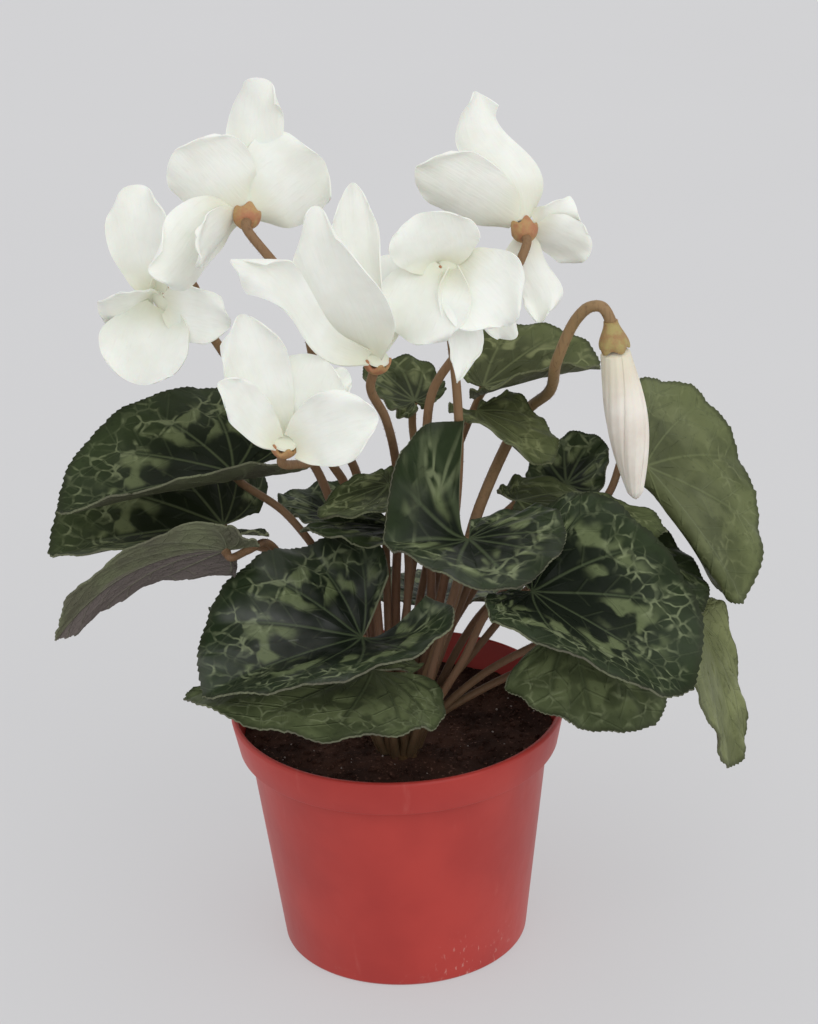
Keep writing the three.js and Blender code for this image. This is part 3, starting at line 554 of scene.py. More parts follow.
@dataclass
class Leaf:
    """One leaf. Junction and tip are the ends of its midrib; a pair is for its left and right half."""

    name: str
    junction: tuple
    tip: tuple
    root: tuple  # where the stalk leaves the crown, from the crown's middle
    via: tuple = ()  # the stalk's way up
    roll: float = 0  # how far it turns about its midrib, in degrees
    fold: tuple = (14, 14)  # how steeply the halves rise from the midrib, in degrees
    width: tuple = (1, 1)
    lobes: tuple = (0.8, 0.8)  # how far the lobes reach back behind the junction
    lift: tuple = (0, 0)  # how far they rise
    sway: tuple = (0, 0)  # and how far they swing to the left
    notch: float = 165  # the angle from the midrib to the edge of a lobe
    droop: float = 15  # how far it bends down from its junction to its tip, in degrees
    lean: float = 0.6  # how far the stalk leans along the blade where it enters
    stalk_side: float = 0  # how far to one side of the junction it enters
    lead: float = STALK_LEAD  # how far it runs straight before that
    olive: float = 0.0  # from blue-green to olive
    light: float = 0.0  # from dark to a plain sage
    gloss: float = 0.2  # how much the blade shines
    marbling: float = 0.8  # how strong the pale marks are
    pale: float = 0.0  # how far the blotches spread
    under: float = 0.0  # how grey the underside is


LEAVES = [
    Leaf("leaf_01", junction=(-54, 0, 185), tip=(-115, -14, 179), roll=-30, fold=(66, 5),
         width=(0.55, 0.82), lobes=(0.8, 0.95), root=(-5.5, -3.2), via=[(-17, -8, 138), (-36, 4, 166)],
         olive=0.25, marbling=0.7),
    Leaf("leaf_02", junction=(-59, 6, 162), tip=(-120, -6, 160), roll=-25, fold=(48, 8),
         lobes=(0.35, 0.65), root=(-9.2, -3.2), via=[(-18, -4, 132), (-40, 6, 150)], olive=0.4),
    Leaf("leaf_03", junction=(-56, -38, 173.5), tip=(-114, -56, 150.5), roll=60, fold=(0, -8),
         width=(0.32, 0.3), lobes=(0.4, 0.05), droop=70, lean=1.2, root=(-7.4, -6.4),
         via=[(-17, -18, 124), (-34, -9, 147), (-42, -13, 163), (-49, -32, 170)],
         olive=0.3, under=1, lead=2),
    Leaf("leaf_04", junction=(-11, -42, 140), tip=(-65, -70, 135), roll=-12, fold=(28, 20),
         lift=(22, 14), notch=145, root=(-1.8, -9.6), via=[(-4, -22, 122), (-8, -29, 131)],
         olive=0.05, gloss=1),
    Leaf("leaf_05", junction=(-8, -42, 127), tip=(-72, -62, 130), fold=(-8, -10), width=(0.85, 0.3),
         lobes=(0.65, 0.65), root=(1.9, -9.6), olive=0.15, light=0.6, marbling=1, pale=0.4),
    Leaf("leaf_06", junction=(0, 0, 178), tip=(-25, -14, 174), roll=-25, fold=(40, 14),
         width=(1, 0.35), lobes=(0.2, 0.4), root=(-1.8, -3.2), via=[(-2, -4, 136), (-1, 8, 160)],
         olive=0.5, light=0.15),
    Leaf("leaf_07", junction=(4, -6, 163), tip=(-31, -18, 170), fold=(0, 14), width=(0.6, 0.35),
         lobes=(0.5, 0.4), root=(0, -6.4), olive=0.2),
    Leaf("leaf_08", junction=(27, -26, 168), tip=(42, -56, 163), fold=(6, 15), width=(1.35, 1.4),
         lobes=(0.8, 1.3), lift=(0, 40), sway=(0, 16), notch=160, root=(5.6, -9.6),
         via=[(16, -23, 128), (22, -26, 150)], olive=0.1, gloss=0.5, marbling=0.9),
    Leaf("leaf_09", junction=(48, -36, 152), tip=(101, -60, 124), roll=8, fold=(25, 20),
         width=(0.95, 0.8), lobes=(0.5, 0.3), root=(7.4, -6.4), via=[(24, -26, 122), (34, -30, 143)],
         olive=0.1, marbling=0.8),
    Leaf("leaf_10", junction=(61, -30, 133), tip=(89, -52, 107), fold=(14, -20), width=(0.85, 1.1),
         lobes=(0.3, 0.3), notch=130, root=(9.3, -3.2), via=[(30, -20, 112)],
         olive=0.15, light=0.6, marbling=1, pale=0.3),
    Leaf("leaf_11", junction=(91, 14, 175), tip=(125, 2, 126), fold=(10, -155), width=(1.2, 0.6),
         lobes=(0.8, 0.05), lean=1.4, stalk_side=8.5, root=(9.3, 3.2),
         via=[(30, 0, 125), (58, 14, 143), (78, 18, 163)], olive=0.7, light=0.5, marbling=0.35),
    Leaf("leaf_12", junction=(109, 2, 119), tip=(122, -4, 64), width=(0.35, 0.95), lobes=(0.2, 0.2),
         root=(11, 0), via=[(26, -16, 102), (60, -8, 114), (90, 2, 118)],
         olive=0.85, light=1.1, marbling=0.2),
    Leaf("leaf_13", junction=(35, 35, 199), tip=(77, 43, 204), roll=20, fold=(10, 50), width=(0.85, 1),
         lobes=(0.3, 0.3), root=(0, 6.4), via=[(9, 2, 130), (21, 22, 170)],
         olive=0.9, light=0.3, marbling=1),
    Leaf("leaf_14", junction=(32, 18, 197), tip=(57, -1, 184), roll=-3, fold=(0, 25),
         width=(0.85, 0.8), lobes=(0.1, 0.3), root=(1.9, 3.2), via=[(13, 1, 130), (24, 16, 170)],
         olive=0.8, light=0.35, marbling=0.6),
    Leaf("leaf_15", junction=(64, 34, 160), tip=(75, 48, 173), root=(3.7, 6.4),
         via=[(24, 6, 125), (44, 20, 145)], olive=0.2),
    Leaf("leaf_16", junction=(45, 4, 168), tip=(97, -4, 158), roll=-5, fold=(14, -130),
         width=(0.4, 0.5), lobes=(0.3, 0.05), lean=0.8, stalk_side=1.5, root=(5.6, -3.2),
         via=[(22, -8, 130)], olive=0.6, light=0.2, marbling=0.5),
    Leaf("leaf_17", junction=(10, 22, 200), tip=(-6, 34, 211), lobes=(0.4, 0.4), root=(-1.8, 3.2),
         via=[(5, 0, 132), (11, 9, 168)], olive=0.6, light=0.1),
    Leaf("leaf_18", junction=(80, 20, 142), tip=(110, -4, 126), width=(0.6, 1), lobes=(0.4, 0.4),
         root=(7.4, 0), via=[(30, -8, 118), (52, 2, 138)], olive=0.2),
    Leaf("leaf_19", junction=(-21, 28, 154), tip=(-38, 42, 157), root=(-3.7, 6.4), via=[(-10, 4, 125)],
         olive=0.2),
    Leaf("leaf_20", junction=(-33, 28, 118), tip=(-60, 60, 102), width=(0.85, 0.85), root=(-3.7, 9.6),
         via=[(-14, 12, 108)], olive=0.2),
    Leaf("leaf_21", junction=(16, 42, 112), tip=(34, 84, 94), width=(0.75, 0.85), root=(0, 9.6),
         via=[(7, 20, 102)], olive=0.3),
]


class LeafFrame:
    """The directions of a leaf: along its midrib, to its left side, and up out of its upper face."""

    def __init__(self, leaf):
        self.junction = Vector(leaf.junction)
        midrib = Vector(leaf.tip) - self.junction
        self.chord = midrib.length
        self.along = midrib.normalized()
        flat_side = Vector((0, 0, 1)).cross(self.along).normalized()
        self.side = Matrix.Rotation(math.radians(leaf.roll), 3, self.along) @ flat_side
        self.up = self.along.cross(self.side)


def smooth_path(points, steps):
    """A centripetal Catmull-Rom curve through the points."""
    ends = [points[0] * 2 - points[1], *points, points[-1] * 2 - points[-2]]
    path = []
    for before, start, end, after in zip(ends, ends[1:], ends[2:], ends[3:]):
        gaps = [math.sqrt((b - a).length) for a, b in ((before, start), (start, end), (end, after))]
        first = (start - before) / gaps[0] - (end - before) / (gaps[0] + gaps[1]) + (end - start) / gaps[1]
        last = (end - start) / gaps[1] - (after - start) / (gaps[1] + gaps[2]) + (after - end) / gaps[2]
        first, last = first * gaps[1], last * gaps[1]
        for k in range(steps):
            t = k / steps
            cubic = 2 * (start - end) + first + last
            square = 3 * (end - start) - 2 * first - last
            path.append(start + first * t + square * t * t + cubic * t ** 3)
    path.append(points[-1].copy())
    return path


def aimed(foot, axis):
    """Turns +Z to the axis and moves the origin to the foot."""
    turn = Vector((0, 0, 1)).rotation_difference(axis)
    return Matrix.Translation(foot) @ turn.to_matrix().to_4x4()


def stalk_start(root):
    """The foot of a stalk in the trunk, and its first straight piece above the crown."""
    outward = Vector((*root, 0))
    foot = CROWN_AT + outward
    return [
        CROWN_AT + outward * STALK_GATHER + Vector((0, 0, STALK_FOOT)),
        foot + Vector((0, 0, ROOT_HEIGHT + STALK_RISE)),
    ]


def tube_shape(path, radii):
    """A round tube along the path, with a radius at each of its points."""
    curve = bpy.data.curves.new("stalk", "CURVE")
    curve.dimensions = "3D"
    curve.bevel_depth = 1.0
    curve.bevel_resolution = STALK_ROUNDNESS
    curve.use_fill_caps = True
    spline = curve.splines.new("POLY")
    spline.points.add(len(path) - 1)
    for point, place, radius in zip(spline.points, path, radii):
        point.co = (*place, 1)
        point.radius = radius
    holder = bpy.data.objects.new("stalk", curve)
    mesh = bpy.data.meshes.new_from_object(holder)
    shape = bmesh.new()
    shape.from_mesh(mesh)
    bpy.data.objects.remove(holder)
    bpy.data.curves.remove(curve)
    bpy.data.meshes.remove(mesh)
    bmesh.ops.remove_doubles(shape, verts=shape.verts, dist=0.001)
    bmesh.ops.recalc_face_normals(shape, faces=shape.faces)
    return shape


def add_hairs(shape, path, radii, name):
    """Short fine hairs that stand out of a stalk all round."""
    hairs = random.Random(name)
    for start, end, radius in zip(path, path[1:], radii):
        along = (end - start).normalized()
        side = along.orthogonal().normalized()
        for _ in range(round((end - start).length * HAIRS_PER_MM)):
            outward = Matrix.Rotation(hairs.uniform(0, 2 * math.pi), 3, along) @ side
            length = hairs.uniform(*HAIR_LENGTH)
            foot = start.lerp(end, hairs.random()) + outward * (radius + length * 0.4)
            bmesh.ops.create_cone(shape, segments=3, radius1=HAIR_RADIUS, radius2=0, depth=length,
                                  matrix=aimed(foot, (outward + along * HAIR_LEAN).normalized()))


def stalk_shape(name, points, radius, foot, head):
    """A downy stalk through the points. Foot and head say how much wider its ends are, how suddenly."""
    path = smooth_path(points, CURVE_STEPS)
    last = len(path) - 1
    radii = []
    for k in range(last + 1):
        t = k / last
        radii.append(radius * (1 + foot[0] * (1 - t) ** foot[1] + head[0] * t ** head[1]))
    shape = tube_shape(path, radii)
    add_hairs(shape, path, radii, name)
    return shape


def leaf_stalk_shape(leaf):
    directions = LeafFrame(leaf)
    tilt = Matrix.Rotation(math.radians(-leaf.droop / 2), 3, directions.side)
    along = tilt @ directions.along
    up = tilt @ directions.up
    entry = (up * STALK_ENTRY + along * leaf.lean).normalized()
    end = directions.junction - up * BLADE_CLEARANCE + directions.side * leaf.stalk_side
    way_up = [*stalk_start(leaf.root), *map(Vector, leaf.via)]
    points = [*way_up, end - entry * leaf.lead, end + up * BLADE_GRIP]
    return stalk_shape(leaf.name, points, LEAF_STALK_RADIUS, LEAF_STALK_FOOT, LEAF_STALK_HEAD)


def stalk_skin(name, low, middle, high):
    paint = Paint(name, Specular_IOR_Level=0.22, Subsurface_Weight=0.08, Subsurface_Scale=1.2 * MM)
    place = paint.place()
    height = paint.split(place)[2]
    streak = paint.mottle(paint.stretched(place, (1, 1, 0.12)), 0.9, detail=4)
    patch = paint.mottle(place, 16)
    colour = paint.mix((height + 46 * patch).rises(100, 150), low, middle)
    colour = paint.mix((height + 60 * patch).rises(170, 250), colour, high)
    colour = paint.mix(streak.rises(0.5, 0.8) * 0.45, colour, STALK_STREAK)
    return paint.surface(
        Base_Color=colour,
        Roughness=0.46 + 0.2 * streak,
        Normal=paint.bump(streak, 0.25),
    )


leaf_stalk_skin = stalk_skin("leaf stalk skin", low=linear(92, 76, 54), middle=linear(116, 88, 66),
                             high=linear(130, 104, 72))
for leaf in LEAVES:
    leaf_stalk_mesh = finish_mesh(leaf_stalk_shape(leaf), f"stalk_{leaf.name}")
    add_piece(f"stalk_{leaf.name}", leaf_stalk_mesh, f"{leaf.name}_stalk", "stalk", leaf_stalk_skin)


# Leaf blades
# Heart-shaped blades with a finely toothed margin. Main veins fan out of the stalk's end, the skin
# is quilted between them, and pale blotches and a net of pale threads lie over the dark green.
CREASE = 7  # the width over which a half bends up beside the midrib
LEAF_OUTLINE = [  # the angle from the midrib, and the reach there, where 1 is the midrib's length
    (0, 1.0),
    (20, 0.93),
    (45, 0.83),
    (75, 0.75),
    (105, 0.69),
    (135, 0.64),
    (156, 0.54),
    (170, 0.36),
]
OUTLINE_END = LEAF_OUTLINE[-1][0]
BLADE_WAVE = 1.2  # the height of the blade's slow waves, of which a full turn has this many
BLADE_WAVES = 5
BLADE_THICKNESS = 0.7
BLADE_RINGS = 17
RING_CROWDING = 1.15  # over 1, the rings lie closer together towards the margin
BLADE_SPOKES = 378
TEETH = 126
TOOTH = 0.014  # the height of a tooth, as a share of the blade's reach
TOOTH_SPREAD = 0.2  # the outer share of the blade over which the teeth fade out
MARGIN_CURL = 0.9  # shorter waves, at the margin alone
MARGIN_CURLS = 13
VEIN_SPACING = 34  # degrees between the main veins
VEIN_SWEEP = 0.16  # how far they bow towards the tip
SIDE_VEIN_SPACING = 9.5
SIDE_VEIN_SLANT = 0.9  # how far they run ahead for each unit that they run out
SIDE_VEIN_SHIFT = 0.37  # from one main vein's side veins to the next one's, as a share of the spacing
PUCKER = 0.75  # how high the skin swells between the veins
VALLEY = 2.4  # the half width of the sunk strip along a main vein
# Colours come in pairs, for a blue-green leaf and for an olive one.
LEAF_CENTRE = (linear(12, 21, 11), linear(39, 46, 22))
LEAF_OUTER = (linear(38, 51, 30), linear(81, 90, 52))
LEAF_SAGE = (linear(113, 125, 86), linear(130, 135, 92))
LEAF_NET = (linear(138, 148, 112), linear(150, 155, 108))
LEAF_MAIN_VEIN = (linear(84, 97, 68), linear(126, 133, 90))
LEAF_SIDE_VEIN = linear(110, 122, 88)
LEAF_MARGIN = linear(44, 48, 32)
UNDER_SAGE = (linear(112, 116, 92), linear(102, 107, 76))
UNDER_DUSK = (linear(84, 78, 74), linear(96, 98, 72))
UNDER_GREY = linear(104, 96, 92)
UNDER_MAIN_VEIN = linear(132, 136, 110)
UNDER_SIDE_VEIN = linear(126, 130, 104)


def arc(distance, turn, full):
    """A strip bent to an arc that turns by `turn` over `full`: how far it goes forward and up."""
    bend = turn / full
    if abs(bend) < 1e-6:
        return distance, 0.0
    return math.sin(bend * distance) / bend, (1 - math.cos(bend * distance)) / bend


def arc_length(chord, bend):
    """The length of an arc with this chord that turns by `bend`."""
    return chord if abs(bend) < 1e-6 else chord * bend / 2 / math.sin(bend / 2)


def bend_along(forward, rise, bend, size):
    """Bends a surface along its length, its tip staying on the straight line to it."""
    x, fall = arc(forward, bend, size)
    turn = bend * forward / size
    p = x + rise * math.sin(turn)
    r = rise * math.cos(turn) - fall
    half = bend / 2
    return p * math.cos(half) - r * math.sin(half), p * math.sin(half) + r * math.cos(half)


def outline_reach(angle, notch):
    """How far the blade reaches at an angle from its midrib, with its outline stretched to the notch."""
    a = min(abs(angle), notch) * OUTLINE_END / notch
    for (a0, r0), (a1, r1) in zip(LEAF_OUTLINE, LEAF_OUTLINE[1:]):
        if a <= a1:
            break
    return r0 + (r1 - r0) * (a - a0) / (a1 - a0)


def toothed(share, angle):
    """The margin's teeth point forwards, and fade inwards."""
    step = (angle * TEETH / 360) % 1
    return 1 + TOOTH * max(0, share - 1 + TOOTH_SPREAD) / TOOTH_SPREAD * (step - 0.4)


def quilting(x, y, share):
    """The blade sinks at its veins and swells between them."""
    reach = math.hypot(x, y)
    spacing = VEIN_SPACING * (1 - VEIN_SWEEP * share)
    angle = math.degrees(math.atan2(x, y))
    branch = round(angle / spacing)
    off = reach * math.radians(abs(angle - branch * spacing))
    side = (reach - SIDE_VEIN_SLANT * off) / SIDE_VEIN_SPACING + SIDE_VEIN_SHIFT * branch
    swell = 0.65 - 0.35 * math.cos(2 * math.pi * side)
    return PUCKER * swell * (1 - math.exp(-(off / VALLEY) ** 2))


def across_leaf(distance, fold):
    """How far out and up a half of the blade gets, this far from the midrib."""
    x, y = arc(min(distance, CREASE), fold, CREASE)
    flat = max(0, distance - CREASE)
    return x + flat * math.cos(fold), y + flat * math.sin(fold)


def leaf_point(leaf, directions, share, angle):
    """A point of the blade, and its place on the blade laid flat."""
    half = 0 if angle >= 0 else 1
    bend = math.radians(leaf.droop)
    size = arc_length(directions.chord, bend)
    turn = math.radians(angle)
    reach = size * share * outline_reach(angle, leaf.notch) * toothed(share, angle)
    across = reach * abs(math.sin(turn)) * leaf.width[half]
    ahead = reach * math.cos(turn)
    forward = ahead * leaf.lobes[half] if ahead < 0 else ahead
    sideways, raised = across_leaf(across, math.radians(leaf.fold[half]))
    behind = max(0, -math.cos(turn)) * share * share
    flat = (reach * math.sin(turn), ahead)
    raised += BLADE_WAVE * share * share * math.sin(math.radians(angle * BLADE_WAVES))
    raised += MARGIN_CURL * share ** 6 * math.sin(math.radians(angle * MARGIN_CURLS) + directions.chord)
    raised += behind * leaf.lift[half] + quilting(*flat, share)
    sideways = (sideways if half == 0 else -sideways) + behind * leaf.sway[half]
    p, r = bend_along(forward, raised, bend, size)
    return directions.junction + directions.along * p + directions.side * sideways + directions.up * r, flat


def sheet_piece(shape, name, node, slot, thickness, *materials):
    """A thin sheet: its two faces take the first and the last material."""
    mesh = finish_mesh(shape, name)
    piece = add_piece(name, mesh, node, slot, *materials)
    wall = piece.modifiers.new("wall", "SOLIDIFY")
    wall.thickness = thickness * MM
    wall.offset = 0
    wall.material_offset = len(materials) - 1
    wall.material_offset_rim = len(materials) - 1
    modified(piece).set_sharp_from_angle(angle=SHARP_EDGE)


def blade_shape(leaf):
    directions = LeafFrame(leaf)
    shape = bmesh.new()
    bmesh.ops.create_grid(shape, x_segments=BLADE_SPOKES, y_segments=BLADE_RINGS, size=1)
    flat_layer = shape.verts.layers.float_vector.new("blade")
    tone_layer = shape.verts.layers.float_vector.new("tone")
    marks_layer = shape.verts.layers.float_vector.new("marks")
    for vert in shape.verts:
        share = 1 - (1 - (vert.co.y + 1) / 2) ** RING_CROWDING
        vert.co, flat = leaf_point(leaf, directions, share, vert.co.x * leaf.notch)
        vert[flat_layer] = (*flat, share)
        vert[tone_layer] = (leaf.olive, leaf.light, leaf.gloss)
        vert[marks_layer] = (leaf.marbling, leaf.pale, leaf.under)
    bmesh.ops.remove_doubles(shape, verts=shape.verts, dist=0.001)
    bmesh.ops.reverse_faces(shape, faces=shape.faces)
    return shape


def blade_pattern(paint):
    """The place on the flat blade, its share of the reach, and how far off the nearest veins are."""
    flat = paint.attribute("blade")
    x, y, share = paint.split(flat)
    reach = (x * x + y * y).root()
    spacing = math.radians(VEIN_SPACING) * (1 - VEIN_SWEEP * share)
    turn = x.turn_to(y) / spacing
    branch = turn.nearest()
    off = reach * abs(turn - branch) * spacing
    side = (reach - SIDE_VEIN_SLANT * off) / SIDE_VEIN_SPACING + SIDE_VEIN_SHIFT * branch
    side_off = abs(side - side.nearest()) * SIDE_VEIN_SPACING
    return flat, share, off, side_off


def leaf_upper_skin():
    paint = Paint("leaf upper skin", Specular_IOR_Level=0.1, Coat_Roughness=0.36)
    flat, share, off, side_off = blade_pattern(paint)
    olive, light, gloss = paint.split(paint.attribute("tone"))
    marbling, pale, _ = paint.split(paint.attribute("marks"))
    place = paint.place()
    # From the dark centre to the greener margin, all of it paler on a plain sage leaf
    zone = share + 0.3 * (paint.mottle(flat, 12) - 0.5)
    centre = paint.mix(olive, *LEAF_CENTRE)
    sage = paint.mix(olive, *LEAF_SAGE)
    colour = paint.mix(zone.rises(0.4, 0.95), centre, paint.mix(olive, *LEAF_OUTER))
    colour = paint.mix(light, colour, sage)
    cloud = paint.mottle(place, 20)
    colour = paint.mix(cloud.rises(0.4, 0.62) * 0.4, colour, centre)
    # Pale blotches in a band round the centre, clear of the main veins
    flat_place = paint.warped(paint.stretched(flat, (1, 1, 0)), 9, 7)
    spots = paint.mottle(flat_place, 9, detail=0.6) + 0.12 * pale
    band = zone.rises(0.34, 0.5) * (zone - 0.2 * pale).rises(0.84, 0.68)
    blotch = spots.rises(0.48, 0.58) * band * off.rises(0.4, 2.4)
    colour = paint.mix(blotch * marbling * 0.85, colour, sage)
    # A broken net of pale threads outside that band
    width = 0.02 + 0.2 * paint.mottle(flat, 5)
    patches = paint.mottle(flat, 15, detail=1).rises(0.38, 0.55)
    faint = 0.35 + 0.65 * paint.mottle(flat, 3.5, detail=1).rises(0.42, 0.58)
    net = (paint.cells(flat_place, 5.4) / width).rises(1.0, 0.2) * patches * faint
    net_zone = zone.rises(0.5, 0.68) * zone.rises(1.02, 0.86)
    colour = paint.mix(net * net_zone * marbling * 0.75, colour, paint.mix(olive, *LEAF_NET))
    # The veins, fine dark flecks and the dark edge
    main = off.rises(0.9, 0.1) * share.rises(1.0, 0.5)
    colour = paint.mix(main * 0.5, colour, paint.mix(olive, *LEAF_MAIN_VEIN))
    side_line = side_off.rises(0.8, 0.1) * share.rises(0.15, 0.4)
    colour = paint.mix(side_line * 0.1, colour, LEAF_SIDE_VEIN)
    fine = paint.mottle(place, 2.2, detail=4)
    colour = paint.mix(fine.rises(0.56, 0.76) * 0.3, colour, centre)
    colour = paint.mix(share.rises(0.95, 0.99) * 0.5, colour, LEAF_MARGIN)
    grain = paint.mottle(place, 0.8, detail=5)
    relief = 0.5 * side_line + 0.6 * main + 0.3 * net * net_zone + 0.14 * grain
    return paint.surface(
        Base_Color=colour,
        Roughness=0.52 + 0.14 * grain,
        Coat_Weight=gloss * paint.mottle(place, 26).rises(0.4, 0.62),
        Normal=paint.bump(relief, 0.45),
    )


def leaf_under_skin():
    paint = Paint("leaf underside", Specular_IOR_Level=0.12)
    flat, share, off, side_off = blade_pattern(paint)
    olive = paint.split(paint.attribute("tone"))[0]
    grey = paint.split(paint.attribute("marks"))[2]
    place = paint.place()
    patch = paint.mottle(place, 15)
    sage = paint.mix(olive, *UNDER_SAGE)
    colour = paint.mix(patch.rises(0.35, 0.7) * 0.7, sage, paint.mix(olive, *UNDER_DUSK))
    right_half = (paint.split(flat)[0] + 16 * (patch - 0.5)).rises(3, -3)
    colour = paint.mix(grey * right_half, colour, UNDER_GREY)
    side_line = side_off.rises(0.8, 0.1)
    main = off.rises(1.1, 0.2) * share.rises(1.0, 0.6)
    colour = paint.mix(side_line * 0.2, colour, UNDER_SIDE_VEIN)
    colour = paint.mix(main * 0.45, colour, UNDER_MAIN_VEIN)
    grain = paint.mottle(place, 1.0, detail=5)
    net = paint.cells(paint.stretched(flat, (1, 1, 0)), 3.0).rises(0.12, 0.02)
    relief = 0.6 * side_line + main + 0.3 * net + 0.15 * grain
    return paint.surface(
        Base_Color=colour,
        Roughness=0.6 + 0.12 * grain,
        Normal=paint.bump(relief, 0.4),
    )


upper_skin = leaf_upper_skin()
under_skin = leaf_under_skin()
for leaf in LEAVES:
    sheet_piece(blade_shape(leaf), f"blade_{leaf.name}", f"{leaf.name}_blade", "leaf", BLADE_THICKNESS,
                upper_skin, under_skin)


# Flower stalks
# Each flower holds its swept-back petals on a brown stalk that ends in a calyx, a small cup of five
# fused sepals. The bud's stalk still bows over at its top.
FLOWER_STALK_FOOT = (0.35, 14)
FLOWER_STALK_HEAD = (0.25, 24)
SEPALS = 5
SEPAL_LOBE = 0.05  # how far a sepal stands out of the cup, as a share of its radius
CALYX_WALL = 0.7
CALYX_FLOOR = 0.3  # the height of the cup's inner floor, as a share of its length
CALYX_GRIP = 1  # how far the stalk goes on into it
CALYX_LEVELS = 16
CALYX_HOLLOW = 7  # the lowest of these levels where the cup is hollow
CALYX_STEPS = 80
STALK_NECK = 9
GAP = 0.3  # between the calyx and the middle of the flower's base
CALYX_FLECK = linear(146, 92, 58)


@dataclass
class Calyx:
    """The cup of sepals at the end of a stalk of this radius."""

    stalk_radius: float
    radius: float
    length: float
    shoulder: float  # low makes it round below, high gives it a long taper
    sepal_point: float


FLOWER_CALYX = Calyx(stalk_radius=1.6, radius=5, length=5, shoulder=0.7, sepal_point=2.4)
BUD_CALYX = Calyx(stalk_radius=2, radius=5.7, length=10, shoulder=1.8, sepal_point=1.3)


@dataclass
class Petal:
    """One petal: where it ends, where its inner side looks, and how it is shaped."""

    tip: tuple
    face: tuple = None
    width: float = 28
    foot: float = 0.4  # the width at its foot, as a share of the greatest
    widest: float = 0.6  # where along it that is
    end: float = 0.8  # how round its end is: low is square, high is pointed
    bend: float = 30  # how far it curves along its length, in degrees
    cup: float = 25  # and across half its width
    twist: float = 0  # how far its end turns about its length, in degrees
    sway: float = 0  # how far it curves to one side and back


@dataclass
class Bloom:
    """One flower: the middle of its base, the way it looks, its stalk's way up, and its petals."""

    name: str
    centre: tuple
    axis: tuple
    root: tuple
    via: tuple
    neck: float = STALK_NECK  # the straight end of its stalk
    petals: tuple = ()


